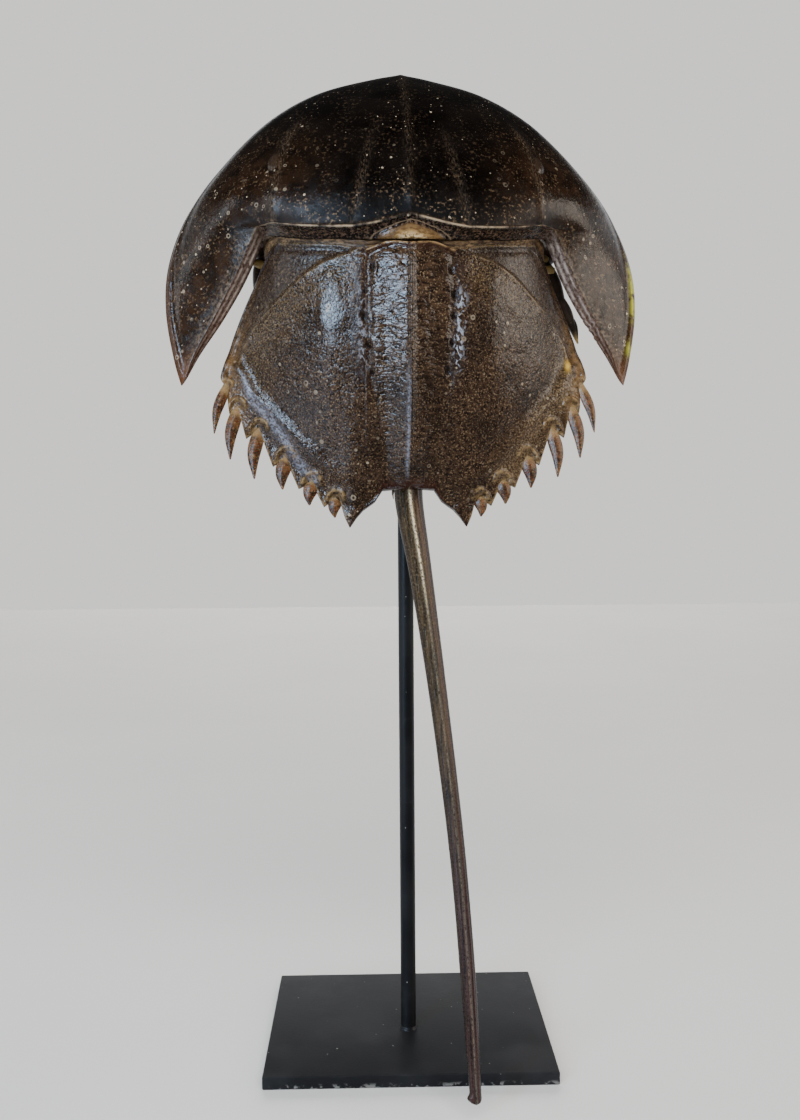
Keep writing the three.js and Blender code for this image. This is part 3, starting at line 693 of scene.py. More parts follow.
def hinge_skin_shape(u, v):
    """The folded skin in the joint: outside first, then back along its inside."""
    x = SKIN_HALF * (2 * u - 1)
    a = np.abs(x)
    y1 = smooth_read(FRONT_LIP, 1, a) + 2.4
    y0 = smooth_read(REAR_FRONT, 1, a) - 0.3
    z = np.minimum(smooth_read(FRONT_LIP, 2, a), smooth_read(REAR_FRONT, 2, a)) - 1.0
    t, turn, outside = part_of(v, 0, SKIN_BACK), part_of(v, SKIN_BACK, 1), v <= SKIN_BACK
    fold = 0.3 * np.sin(t * math.pi * 5) * np.sin(math.pi * t)
    dip = np.where(a < 16, 1.4 * (1 - hinge_lobes(a)), 0) * rise(HINGE_LOBE - a, 0, 1)
    b = np.where(outside, lerp(y0 - dip - 0.9 * (1 - t), y1, t), lerp(y1, y0 - dip - 0.9, turn))
    height = np.where(outside, z + fold + 0.9 * np.sin(math.pi * t) ** 0.8 - 1.2 * (1 - t) ** 2,
                      z - 1.2 * turn - 2.6 * np.sin(math.pi * turn) ** 0.6)
    end = np.clip((a - SKIN_CLOSE[0]) / SKIN_CLOSE[1], 0, 1)[:, None]
    middle = np.column_stack((x, (y0 + y1) / 2, z - 1))
    return lerp(np.column_stack((x, b, height)), middle, end), {}


def tail_shape(u, v):
    """The three-sided tail with its toothed ridge, from root to tip over u."""
    widths = np.column_stack((np.linspace(0, 1, len(TAIL_HALF)), TAIL_HALF))
    loop = smooth_line([TAIL_SECTION[-1], *TAIL_SECTION, TAIL_SECTION[0], TAIL_SECTION[1]], 16)[16:-16]
    section = walk(loop, v % 1)
    reach, upper = np.abs(section[:, 0]), section[:, 1] > -0.3
    ridge = bell(reach, 0.10) * (section[:, 1] > 0.2)
    tooth = 0.05 * ridge * np.maximum(0, np.sin(u * TAIL_LENGTH * 2 * math.pi / TAIL_TOOTH))
    groove = upper * beads(reach, TAIL_GROOVES)
    tip, root = np.clip((1 - u) / 0.006, 0, 1) ** 0.3, np.clip(u / 0.004, 0, 1) ** 0.4
    flat = section * ((1 + tooth + groove) * smooth_read(widths, 1, u) * tip * root)[:, None]
    flat[:, 0] -= bell(u - TAIL_CHIP, 0.005) * (section[:, 0] < -0.5)
    points = walk(smooth_line(TAIL_ROUTE), u) + np.column_stack((flat[:, 0], 0 * u, flat[:, 1]))
    return points, {"ridge": ridge, "along": u, "edge": rise(reach, 0.62, 0.95),
                    "right": rise(section[:, 0], 0.25, 0.5)}


def spine_piece(name, foot, tip, width, side):
    """A side spine: a flat, bent blade with a low rib, its root held in the shield's socket."""
    bend = SPINE_BEND * (foot[1] - tip[1])
    lean = (tip[0] - foot[0]) / (tip[1] - foot[1])
    root = (foot[0] + SPINE_ROOT * lean, foot[1] + SPINE_ROOT)
    route = [(*root, SPINE_HEIGHT + 0.1), (*foot, SPINE_HEIGHT + 0.1),
             ((foot[0] + tip[0]) / 2 + bend, (foot[1] + tip[1]) / 2, SPINE_HEIGHT), (*tip, SPINE_HEIGHT)]
    route = [(x * side, y, z) for x, y, z in route]
    return bar(name, route, [width / 2 * share for share in SPINE_TAPER], SPINE_GRID, SPINE_FLAT, SPINE_RIB)


def leg_route(i, side):
    """The joints of one right leg. The last pair reaches back past the hinge, each leg in its own way."""
    y = LEG_FIRST - LEG_STEP * i
    root = [LEG_ROOT_SIDE, y, LEG_ROOT_HEIGHT]
    if i == LEGS - 1:
        return [root, [33, y + 1.5, 8], [55.6, 3.4, 6], *LAST_LEG_ENDS[side]]
    knee, fan = 37 + 2.5 * i, 1.1 * (2 - i)
    return [root, [24, y + 1.5 + 0.4 * fan, 10], [knee, y + 0.5 + fan, 7], [knee - 1, y - 2.5 + fan, 1.5],
            [27 + i, y - 3 + 0.6 * fan, -0.6]]


def limb_piece(name, route, half_widths, side):
    """A jointed limb: a swollen bar for each segment, and a movable finger beside the last one."""
    route = np.array(route, float) * (side, 1, 1)
    count = len(route) - 1
    pieces = []
    for k in range(count):
        start, end, half = route[k], route[k + 1], half_widths[k]
        swell = SEGMENT_SWELL if k < count - 1 else CLAW_SWELL
        root = lerp(start, end, -0.12 if k else 0)
        middle = (start + end) / 2 + (0, 0.7, 0.3)
        segment = bar(f"{name}_{k}", [root, middle, end], [half * share for share in swell], SEGMENT_GRID)
        layer, places = segment.data.attributes["along"].data, np.empty(len(segment.data.vertices), np.float32)
        layer.foreach_get("value", places)
        layer.foreach_set("value", (k + places) / count)
        pieces.append(segment)
    wrist = lerp(start, end, 0.45) + (0, 0.9 * half, 0.2)
    finger = [wrist, lerp(wrist, end, 0.5) + (0, 1.0 * half, 0.4), end + (0, 0.5 * half, 0.3)]
    pieces.append(bar(name + "_finger", finger, [0.5 * half, 0.55 * half, 0.1], FINGER_GRID))
    return join(pieces, name)


def knuckle(name, place, half, radius, pale):
    """An egg-shaped knob on a leg, worn as pale as the claws or left dark."""
    x, y, z = place
    route = [(x - half, y + 0.5, z), (x, y, z), (x + half, y - 0.5, z)]
    knob = bar(name, route, [0.62 * radius, radius, 0.62 * radius], KNUCKLE_GRID)
    set_along(knob, pale)
    return knob


def gill_shape(i):
    """One gill cover: its back first, then its belly, with ribs along it."""
    half = GILL_HALF - GILL_NARROWING * i
    slope = math.radians(GILL_SLOPE)

    def shape(u, v):
        x = half * np.sin((2 * u - 1) * math.pi / 2)
        a = np.abs(x)
        out = (a - 2) / (half - 2)
        length = GILL_LENGTH * np.where(a < 2, 0.6 + 0.125 * a, 0.85 + 0.13 * np.sin(math.pi * out)
                                        - 0.15 * np.clip(out, 0, 1) ** 2)
        t = np.where(v < 0.5, v * 2, 2 - 2 * v)
        over = v < 0.5
        b = -length * t - 4.5 * (a / half) ** 4 * (1 - t)
        edge = np.clip(np.minimum(np.minimum(t, 1 - t) * length, half - a) / 0.7, 0, 1) ** 0.5
        rib = 0.12 * np.sin(b * 3.6) * edge + 0.35 * bell(a - half * 0.45, 3) * edge
        z = GILL_THICK / 2 + np.where(over, 1, -1) * (GILL_THICK / 2 * edge) + np.where(over, 0, -rib * 0.6)
        y = b * math.cos(slope) - z * math.sin(slope) + GILL_FIRST - GILL_STEP * i
        h = b * math.sin(slope) + z * math.cos(slope) + GILL_LIFT - GILL_DROP * i
        return np.column_stack((x, y, h)), {"edge": 1 - edge}

    return shape


# ---------------------------------------------------------------- finishes

# Tints that are laid over the main colours.
TINTS = {
    # front shield
    "fleck": (0.14, 0.088, 0.048),
    "worn_line_and_highlight": (0.12, 0.082, 0.052),
    "worn_crest_and_highlight": (0.34, 0.25, 0.16),
    "band_dark": (0.0070, 0.0042, 0.0031),
    "band_pale": (0.13, 0.080, 0.052),
    "lens_brown": (0.10, 0.056, 0.021),
    "lens_gold": (0.34, 0.205, 0.078),
    "lens_rim": (0.075, 0.040, 0.017),
    "lens_glint": (0.66, 0.50, 0.29),
    "inner_dark": (0.012, 0.0072, 0.0048),
    "inner_pale": (0.15, 0.102, 0.066),
    "bevel_brown": (0.060, 0.040, 0.032),
    "bevel_pale": (0.26, 0.195, 0.165),
    "bevel_rib_highlight": (0.60, 0.50, 0.43),
    "wing_tip": (0.10, 0.036, 0.012),
    "moss": (0.36, 0.35, 0.035),
    "eye": (0.030, 0.018, 0.011),
    # rear shield
    "scar": (0.018, 0.0065, 0.0040),
    "shelf": (0.018, 0.0105, 0.0085),
    "gold_dust_and_glints": (0.24, 0.160, 0.090),
    "shelf_fold": (0.16, 0.108, 0.058),
    "gilt": (0.12, 0.080, 0.032),
    "painted_pit_glint": (0.34, 0.37, 0.43),
    "painted_sheen": (0.21, 0.22, 0.27),
    "brass": (0.19, 0.125, 0.065),
    "socket": (0.24, 0.155, 0.068),
    "rust": (0.036, 0.010, 0.007),
    "outline": (0.014, 0.006, 0.004),
    "hem": (0.30, 0.19, 0.085),
    "yellow_spot": (0.55, 0.33, 0.06),
    "pit": (0.008, 0.005, 0.004),
    # underside and hinge
    "skin_pale": (0.105, 0.064, 0.036),
    "skin_dark": (0.070, 0.042, 0.024),
    "skin_crease": (0.036, 0.021, 0.012),
    "skin_stain": (0.030, 0.014, 0.008),
    "dry_speck": (0.20, 0.14, 0.085),
    # tail
    "tail_red": (0.060, 0.027, 0.014),
    "plum": (0.044, 0.0190, 0.0195),
    "dark_plum": (0.010, 0.0050, 0.0050),
    "tail_edge": (0.010, 0.0045, 0.0030),
    "tail_worn": (0.16, 0.105, 0.050),
    "painted_ridge_glint": (0.80, 0.64, 0.40),
    # spines, limbs and gill covers
    "spine_blotch": (0.040, 0.024, 0.011),
    "spine_dark": (0.018, 0.0105, 0.0058),
    "spine_root": (0.22, 0.145, 0.066),
    "spine_tip": (0.085, 0.034, 0.015),
    "spine_grain": (0.26, 0.18, 0.09),
    "claw": (0.38, 0.26, 0.080),
    "gill_vein": (0.10, 0.062, 0.034),
    "gill_edge": (0.07, 0.040, 0.022),
    # stand
    "scuff": (0.022, 0.022, 0.0225),
    "paint_speck": (0.30, 0.29, 0.27),
    "chip": (0.17, 0.165, 0.155),
}
LEVEL, LEVEL_WRINKLE = (0.5, 0.5, 0.5), (0.47, 0.47, 0.47)  # bump heights where the surface is calm
CHIP_REACH = (0.0008, 0.0024)  # metres above the table over which the chipped edge fades


def scaled(colour, share):
    """A colour made darker or brighter."""
    return [share * v for v in colour]


class Finish:
    """A node material that reads places in the animal's own frame, in millimetres."""

    def __init__(self, name, constants):
        self.material = bpy.data.materials.new(name)
        self.material.use_nodes = True
        self.tree = self.material.node_tree
        self.shader = self.tree.nodes["Principled BSDF"]
        for socket, value in constants.items():
            self.shader.inputs[socket].default_value = value
        self.colour = LEVEL
        self.own = self.add("ShaderNodeTexCoord").outputs["Object"]
        self.where = self.add("ShaderNodeMapping", {"vector_type": "TEXTURE"}, Vector=self.own,
                              Location=sizes().place, Rotation=animal_turn().to_euler(),
                              Scale=(MM, MM, MM)).outputs[0]

    def add(self, kind, settings=None, **inputs):
        """A new node with its settings and inputs."""
        node = self.tree.nodes.new(kind)
        for name, value in (settings or {}).items():
            setattr(node, name, value)
        for name, value in inputs.items():
            self.feed(node.inputs[name], value)
        return node

    def feed(self, socket, value):
        """Links a socket, or sets it to a number, a colour or a named tint."""
        if isinstance(value, bpy.types.NodeSocket):
            self.tree.links.new(value, socket)
        elif socket.type == "RGBA":
            colour = TINTS[value] if isinstance(value, str) else value
            socket.default_value = (*colour[:3], 1)
        else:
            socket.default_value = value

    def stretched(self, stretch):
        """Places for a pattern that runs finer where the stretch is above 1."""
        if stretch == (1, 1, 1):
            return self.where
        return self.add("ShaderNodeMapping", Vector=self.where, Scale=stretch).outputs[0]

    def noise(self, size, detail, stretch=(1, 1, 1), distortion=0.0, roughness=0.55):
        """An irregular pattern with patches of this size, in millimetres."""
        return self.add("ShaderNodeTexNoise", Vector=self.stretched(stretch), Scale=1 / size, Detail=detail,
                        Distortion=distortion, Roughness=roughness).outputs["Fac"]

    def calc(self, operation, a, b):
        """A sum kept between 0 and 1."""
        node = self.add("ShaderNodeMath", {"operation": operation, "use_clamp": True})
        self.feed(node.inputs[0], a)
        self.feed(node.inputs[1], b)
        return node.outputs[0]

    def times(self, a, b):
        return self.calc("MULTIPLY", a, b)

    def plus(self, a, b):
        return self.calc("ADD", a, b)

    def amount(self, name, share=1.0):
        """A named amount on the piece's points, or a share of it."""
        whole = self.add("ShaderNodeAttribute", {"attribute_name": name}).outputs["Fac"]
        return whole if share == 1 else self.times(whole, share)

    def ramp(self, value, low, high, start=0.0, end=1.0):
        """A soft step from start at low to end at high."""
        node = self.add("ShaderNodeMapRange", {"interpolation_type": "SMOOTHSTEP"}, Value=value)
        for k, number in enumerate((low, high, start, end), 1):
            node.inputs[k].default_value = number
        return node.outputs[0]

    def patchy(self, name, pattern, *span):
        """A named amount, broken up by a ramp over a pattern."""
        return self.times(self.amount(name), self.ramp(pattern, *span))

    def mix(self, share, a, b):
        """The share of the way from colour a to colour b."""
        node = self.add("ShaderNodeMix", {"data_type": "RGBA"})
        for k, value in ((0, share), (6, a), (7, b)):
            self.feed(node.inputs[k], value)
        return node.outputs[2]

    def mottle(self, pattern, low, high, a, b):
        """Two colours in turn, as a pattern goes from low to high."""
        return self.mix(self.ramp(pattern, low, high), a, b)

    def lay(self, share, colour):
        """Lays a share of a colour over all that is there."""
        self.colour = self.mix(share, self.colour, colour)

    def dots(self, size, share, radius, hollow=0.0):
        """Scattered dots: in that share of the cells, of that radius in cells, as rings if hollow."""
        cells = self.add("ShaderNodeTexVoronoi", Vector=self.where, Scale=1 / size)
        spread = self.add("ShaderNodeSeparateColor", Color=cells.outputs["Color"])
        chosen = self.ramp(spread.outputs[0], 1 - share, 1.02 - share)
        reach = self.plus(self.times(spread.outputs[1], radius * 0.6), radius * 0.5)
        away = cells.outputs["Distance"]
        inside = self.calc("GREATER_THAN", reach, away)
        if hollow:
            inside = self.times(inside, self.calc("GREATER_THAN", away, self.times(reach, hollow)))
        return self.times(inside, chosen)

    def bump(self, height, depth, under=None):
        """Raises the finish by up to this depth, in millimetres, over another bump."""
        node = self.add("ShaderNodeBump", Height=height, Distance=depth * MM)
        if under:
            self.feed(node.inputs["Normal"], under)
        return node.outputs[0]

    def done(self, roughness, normal):
        """Joins colour, roughness and bumps to the shader."""
        self.feed(self.shader.inputs["Base Color"], self.colour)
        self.feed(self.shader.inputs["Roughness"], roughness)
        self.feed(self.shader.inputs["Normal"], normal)
        return self.material


def underside(f):
    """The dry brown skin below both shields: cloudy, with fine darker creases and pale specks."""
    skin = f.mottle(f.noise(14, 5), 0.3, 0.7, "skin_pale", "skin_dark")
    skin = f.mix(f.ramp(f.noise(1.6, 4, (1, 0.35, 1), 1.0), 0.50, 0.66, 0, 0.55), skin, "skin_crease")
    return f.mix(f.times(f.dots(5, 0.4, 0.1), 0.5), skin, "dry_speck")


def lay_lens(f):
    """The golden half-round lens over the hinge, darker towards its edge, with a painted highlight in its middle
    and a hair line round it.
    """
    arch = f.plus(f.amount("arch"), f.ramp(f.noise(2.5, 3), 0.3, 0.7, 0, 0.02))
    gold = f.mottle(f.noise(1.3, 3, (0.6, 1.6, 1)), 0.36, 0.62, "lens_brown", "lens_gold")
    gold = f.mix(f.ramp(arch, 0.16, 0.46, 0, 0.8), gold, "lens_rim")
    # painted highlight: pale glints in the lens's middle
    glint = f.times(f.ramp(arch, 0.06, 0.34, 1, 0), f.ramp(f.noise(0.9, 2), 0.42, 0.58))
    gold = f.mix(glint, gold, "lens_glint")
    f.lay(f.ramp(arch, 0.43, 0.51, 1, 0), gold)
    hair_line = f.times(f.ramp(arch, 0.545, 0.57), f.ramp(arch, 0.57, 0.60, 1, 0))
    f.lay(f.times(hair_line, 0.7), "dry_speck")


def front_shell_finish():
    """Near-black lacquer on the dome and brown on the wings, with specks, worn lines and crest partly painted as
    highlights, and the golden lens.
    """
    c = colours()
    f = Finish("dark_lacquered_shell", {"Specular IOR Level": 0.36})
    grain, wing, dust, inner = f.noise(1.1, 3), f.amount("wing"), f.amount("dust"), f.amount("inner")
    f.colour = f.mottle(f.noise(16, 5), 0.38, 0.68, c.shell_dark, scaled(c.shell_dark, 2.6))
    f.lay(f.times(wing, 0.9), f.mottle(f.noise(5, 4), 0.38, 0.66, c.shell_brown, scaled(c.shell_brown, 0.3)))
    flecks = f.times(f.ramp(grain, 0.54, 0.68), f.ramp(f.noise(9, 3), 0.36, 0.62))
    worn = f.plus(f.times(wing, 0.6), f.plus(f.times(dust, 0.8), 0.22))
    f.lay(f.times(flecks, worn), "fleck")
    # pale lines along edges and ridges: worn, partly painted highlight
    f.lay(f.patchy("line", f.noise(1.1, 3, (2.4, 0.7, 1)), 0.42, 0.66, 0, 0.6), "worn_line_and_highlight")
    specks = f.plus(f.dots(2.0, 0.5, 0.14), f.dots(4.6, 0.5, 0.11))
    specks = f.times(specks, f.ramp(f.noise(20, 2), 0.34, 0.54))
    f.lay(f.times(specks, f.ramp(f.noise(2.2, 2), 0.35, 0.65, 0.15, 0.9)), c.speckle)
    rings = f.times(f.dots(3.6, 0.5, 0.24, 0.5), f.times(wing, f.ramp(f.noise(14, 2), 0.42, 0.56)))
    f.lay(f.times(rings, 0.8), scaled(c.speckle, 0.6))
    # pale crest of the rim bead: worn, partly painted highlight
    f.lay(f.patchy("crest", f.noise(7, 4, (1, 0.4, 0.4)), 0.44, 0.62), "worn_crest_and_highlight")
    f.lay(f.amount("band"), f.mottle(f.noise(1.0, 3), 0.44, 0.68, "band_dark", "band_pale"))
    lay_lens(f)
    f.lay(f.times(inner, 0.75), f.mottle(f.noise(1.2, 3), 0.42, 0.66, "inner_dark", "inner_pale"))
    bevel = f.mottle(f.noise(1.3, 3), 0.38, 0.66, "bevel_brown", "bevel_pale")
    # pale along the bevel's two ribs: painted highlight
    bevel = f.mix(f.patchy("ribs", f.noise(2.2, 3), 0.34, 0.60), bevel, "bevel_rib_highlight")
    f.lay(f.amount("bevel"), bevel)
    f.lay(f.amount("tip", 0.8), "wing_tip")
    f.lay(f.patchy("moss", f.noise(4, 3), 0.36, 0.56), "moss")
    f.lay(f.amount("eye", 0.85), "eye")
    f.lay(f.amount("under"), underside(f))
    dull = f.times(f.calc("MAXIMUM", dust, f.times(inner, 0.4)), 0.35)
    roughness = f.plus(f.ramp(f.noise(2.5, 4), 0.3, 0.7, 0.14, 0.28), dull)
    normal = f.bump(grain, 0.10, f.bump(specks, 0.3))
    return f.done(roughness, f.bump(f.noise(3.5, 3), 0.16, normal))


def rear_shell_finish():
    """Wrinkled brown shell, dark in the grooves as painted shade, with specks, amber rims, golden dust partly
    painted as glints, painted glints beside the pits, and a painted sheen on the keel and left rim.
    """
    c = colours()
    f = Finish("wrinkled_brown_shell", {"Specular IOR Level": 0.5})
    axis, shelf, scar = f.amount("axis"), f.amount("shelf"), f.amount("scar")
    cloud, dust = f.noise(17, 4), f.noise(0.65, 2)
    off_axis = f.calc("SUBTRACT", 1.0, axis)
    calm = f.calc("MAXIMUM", f.times(shelf, 0.15), f.amount("flange", 0.2))
    calm = f.calc("MAXIMUM", calm, f.amount("polish", 0.7))
    wrinkle = f.mix(axis, f.noise(1.05, 2, (1, 0.8, 1), 1.0, 0.45), f.noise(1.35, 2, (0.32, 1.0, 1), 0.5, 0.5))
    wrinkle = f.mix(calm, wrinkle, LEVEL_WRINKLE)
    # dark in the wrinkles' grooves and golden on their ridges, from the same pattern as the bump: the shell's tone,
    # partly painted shade in the grooves and painted highlight on the ridges
    f.colour = f.mottle(wrinkle, 0.28, 0.80, c.rear_dark, c.rear_gold)
    f.lay(f.ramp(cloud, 0.42, 0.66, 0, 0.6), c.rear_dark)
    f.lay(f.times(scar, 0.6), "scar")
    f.lay(f.times(shelf, 0.5), "shelf")
    # golden specks: partly dust, partly painted glints on the fine wrinkles
    dust_and_glints = f.times(f.ramp(dust, 0.55, 0.68), f.ramp(cloud, 0.36, 0.64, 0.65, 0.35))
    f.lay(f.times(dust_and_glints, f.calc("SUBTRACT", 1.0, calm)), "gold_dust_and_glints")
    f.lay(f.patchy("fold", f.noise(3, 3), 0.42, 0.64, 0, 0.75), "shelf_fold")
    f.lay(f.patchy("gilt", dust, 0.46, 0.64, 0, 0.5), "gilt")
    # painted glints beside the pits
    f.lay(f.patchy("glint", f.noise(1.5, 3, (1.2, 0.7, 1), 0.8), 0.50, 0.60, 0, 0.85), "painted_pit_glint")
    specks = f.times(f.dots(3.6, 0.5, 0.17), f.ramp(f.noise(18, 2), 0.40, 0.6, 0, 0.5))
    f.lay(f.times(specks, off_axis), c.speckle)
    rings = f.times(f.dots(4.0, 0.5, 0.26, 0.5), f.ramp(f.noise(16, 2), 0.50, 0.62, 0, 0.7))
    f.lay(f.times(rings, off_axis), scaled(c.speckle, 0.5))
    f.lay(f.amount("rim", 0.9), f.mottle(f.noise(2.2, 3), 0.38, 0.66, c.amber, scaled(c.amber, 0.3)))
    # painted sheen: pale bluish reflection laid along the left rim and the keel
    f.lay(f.patchy("sheen", f.noise(1.0, 3), 0.38, 0.62, 0.10, 0.9), "painted_sheen")
    f.lay(f.patchy("brass", dust, 0.42, 0.62, 0.1, 0.7), "brass")
    f.lay(f.patchy("ring", f.noise(1.6, 3), 0.36, 0.6, 0, 0.9), "socket")
    f.lay(f.amount("rust", 0.75), "rust")
    f.lay(f.amount("outline", 0.8), "outline")
    f.lay(f.patchy("hem", f.noise(2.0, 3), 0.34, 0.56), "hem")
    f.lay(f.amount("spot", 0.9), "yellow_spot")
    f.lay(f.amount("pit"), "pit")
    f.lay(f.amount("under"), underside(f))
    dull = f.plus(f.times(scar, 0.22), f.times(shelf, 0.12))
    roughness = f.plus(f.ramp(wrinkle, 0.35, 0.65, 0.09, 0.22), dull)
    normal = f.bump(f.mix(axis, f.ramp(wrinkle, 0, 1, 0.31, 0.69), wrinkle), 0.50)
    normal = f.bump(dust, 0.04, normal)
    return f.done(roughness, f.bump(f.mix(calm, f.noise(6, 2), LEVEL), 0.45, normal))


def hinge_skin_finish():
    """Golden skin with dark folds and stains."""
    c = colours().skin
    f = Finish("golden_hinge_skin", {"Specular IOR Level": 0.3})
    streak = f.noise(0.9, 4, (0.12, 1.2, 1.2))
    f.colour = f.mottle(streak, 0.38, 0.62, c, scaled(c, 0.2))
    f.lay(f.ramp(f.noise(6, 3), 0.42, 0.62, 0, 0.6), "skin_stain")
    return f.done(f.ramp(streak, 0.3, 0.7, 0.3, 0.5), f.bump(streak, 0.2))


def tail_finish():
    """Bronze at the root and plum towards the tip, with a painted golden highlight along the ridge near the root.
    """
    c = colours().tail
    f = Finish("bronze_tail", {"Specular IOR Level": 0.3})
    grain, streak, place = f.noise(0.9, 3), f.noise(1.6, 4, (1.4, 0.06, 1.4)), f.amount("along")
    f.colour = f.mottle(streak, 0.38, 0.64, c, scaled(c, 0.25))
    f.lay(f.amount("right", 0.7), "tail_red")
    f.lay(f.ramp(place, 0.30, 0.75, 0, 0.85), f.mottle(streak, 0.4, 0.6, "plum", "dark_plum"))
    f.lay(f.amount("edge", 0.7), "tail_edge")
    f.lay(f.times(f.ramp(grain, 0.56, 0.66), f.ramp(place, 0.1, 0.7, 0.5, 0.15)), "tail_worn")
    # painted highlight along the ridge's crest, bright near the root and faint further on
    f.lay(f.times(f.patchy("ridge", grain, 0.36, 0.52), f.ramp(place, 0.12, 0.26, 1, 0.1)), "painted_ridge_glint")
    return f.done(f.ramp(grain, 0.3, 0.7, 0.22, 0.40), f.bump(grain, 0.05, f.bump(streak, 0.16)))


def spine_finish():
    """Amber at the root, dark along the blade and reddish at the tip."""
    f = Finish("amber_spine", {"Specular IOR Level": 0.5, "Subsurface Weight": 0.05})
    blotch, grain, place = f.noise(2.6, 4), f.noise(0.7, 3), f.amount("along")
    f.colour = f.mottle(blotch, 0.38, 0.62, scaled(colours().amber, 0.7), "spine_blotch")
    f.lay(f.times(f.ramp(place, 0.25, 0.5), f.ramp(blotch, 0.34, 0.62, 0.35, 0.85)), "spine_dark")
    f.lay(f.ramp(place, 0.16, 0.28, 0.8, 0), "spine_root")
    f.lay(f.ramp(place, 0.86, 0.98, 0, 0.6), "spine_tip")
    f.lay(f.ramp(grain, 0.56, 0.68, 0, 0.55), "spine_grain")
    return f.done(f.ramp(grain, 0.3, 0.7, 0.2, 0.4), f.bump(grain, 0.14))


def limb_finish():
    """Dark dried limbs with pale claws and knuckles."""
    c = colours().limb
    f = Finish("dark_limb", {"Coat Weight": 0.25, "Coat Roughness": 0.25})
    grain = f.noise(0.9, 3)
    f.colour = f.mottle(f.noise(5, 4), 0.38, 0.66, c, scaled(c, 0.35))
    f.lay(f.ramp(f.amount("along"), 0.93, 1.0, 0, 0.85), "claw")
    f.lay(f.ramp(grain, 0.56, 0.72, 0, 0.4), "dry_speck")
    return f.done(f.ramp(grain, 0.3, 0.7, 0.35, 0.55), f.bump(grain, 0.15))


def gill_finish():
    """Leathery flaps with fine veins and darker edges."""
    c = colours().gill
    f = Finish("leathery_gill_cover", {"Coat Weight": 0.15, "Coat Roughness": 0.35})
    veins = f.noise(1.2, 4, (0.3, 2.2, 1))
    f.colour = f.mottle(f.noise(8, 4), 0.38, 0.68, c, scaled(c, 0.45))
    f.lay(f.ramp(veins, 0.48, 0.7, 0, 0.5), "gill_vein")
    f.lay(f.amount("edge", 0.6), "gill_edge")
    return f.done(f.ramp(veins, 0.3, 0.7, 0.42, 0.6), f.bump(veins, 0.2))


def paint_finish(name, dusty):
    """Black paint, more or less dusty, with scuffs and specks, and chips along the lowest edge."""
    c = scaled(colours().paint, dusty)
    f = Finish(name, {"Specular IOR Level": 0.25})
    cloud = f.noise(26, 5)
    f.colour = f.mix(f.ramp(cloud, 0.4, 0.7, 0, 0.6), c, scaled(c, 2.2))
    f.lay(f.ramp(f.noise(3.0, 5, (0.25, 1.0, 1.6), 0.5), 0.60, 0.74, 0, 0.3), "scuff")
    f.lay(f.times(f.dots(3.2, 0.35, 0.08), 0.7), "paint_speck")
    height = f.add("ShaderNodeSeparateXYZ", Vector=f.own).outputs["Z"]
    f.lay(f.times(f.ramp(height, *CHIP_REACH, 1, 0), f.ramp(f.noise(2.4, 4), 0.53, 0.60, 0, 0.8)), "chip")
    return f.done(f.ramp(cloud, 0.3, 0.75, 0.34, 0.52), f.bump(f.noise(0.9, 2), 0.035))


def floor_finish():
    """Plain pale floor, hardly clouded."""
    c = colours().floor
    f = Finish("pale_floor", {"Specular IOR Level": 0.3})
    f.colour = f.mottle(f.noise(220, 3), 0.3, 0.7, c, scaled(c, 0.97))
    return f.done(f.ramp(f.noise(90, 3), 0.3, 0.7, 0.38, 0.5), f.bump(f.noise(1.5, 2), 0.01))


# ---------------------------------------------------------------- stand and studio

def stand_plate():
    """The plate with its eased edges."""
    low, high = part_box("base_plate")
    bare_selection()
    bpy.ops.mesh.primitive_cube_add(size=1, location=(low + high) / 2, scale=high - low)
    plate = bpy.context.object
    plate.name = plate.data.name = "stand_plate"
    bpy.ops.object.transform_apply(location=True, rotation=True, scale=True)
    bpy.ops.object.mode_set(mode="EDIT")
    bpy.ops.mesh.select_all(action="SELECT")
    bpy.ops.mesh.bevel(offset=PLATE_BEVEL, segments=3, profile=0.6, affect="EDGES")
    bpy.ops.mesh.select_all(action="SELECT")
    bpy.ops.mesh.normals_make_consistent(inside=False)
    bpy.ops.object.mode_set(mode="OBJECT")
    bpy.ops.object.shade_smooth_by_angle(angle=SHARP_EDGE)
    return plate


def stand_rod():
    """The rod with the small weld round its foot."""
    low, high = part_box("stand_rod")
    middle = (low + high) / 2
    radius = (high.x - low.x) / 2
    foot = (middle.x, middle.y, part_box("base_plate")[1].z + WELD_HEIGHT / 2)
    bare_selection()
    bpy.ops.mesh.primitive_cylinder_add(vertices=ROD_SIDES, radius=radius, depth=high.z - low.z, location=middle)
    rod = bpy.context.object
    bpy.ops.object.transform_apply(location=True, rotation=True, scale=True)
    bpy.ops.object.shade_smooth_by_angle(angle=SHARP_EDGE)
    bpy.ops.mesh.primitive_cone_add(vertices=ROD_SIDES, radius1=radius * WELD_FLARE[0],
                                    radius2=radius * WELD_FLARE[1], depth=WELD_HEIGHT, location=foot)
    weld_ring = bpy.context.object
    bpy.ops.object.transform_apply(location=True, rotation=True, scale=True)
    bpy.ops.object.shade_smooth_by_angle(angle=SHARP_WELD)
    return join([rod, weld_ring], "stand_upright")


def soft_light(name, place, target, size, power, colour, in_gloss, on_colours):
    """A soft panel of light, aimed at a target."""
    bare_selection()
    bpy.ops.object.light_add(type="AREA", location=place)
    light = bpy.context.object
    light.name = name
    light.data.shape = "RECTANGLE"
    light.data.size, light.data.size_y = size
    light.data.energy = power
    light.data.color = colour
    light.visible_glossy, light.visible_diffuse = in_gloss, on_colours
    light.rotation_euler = (Vector(target) - light.location).to_track_quat("-Z", "Y").to_euler()


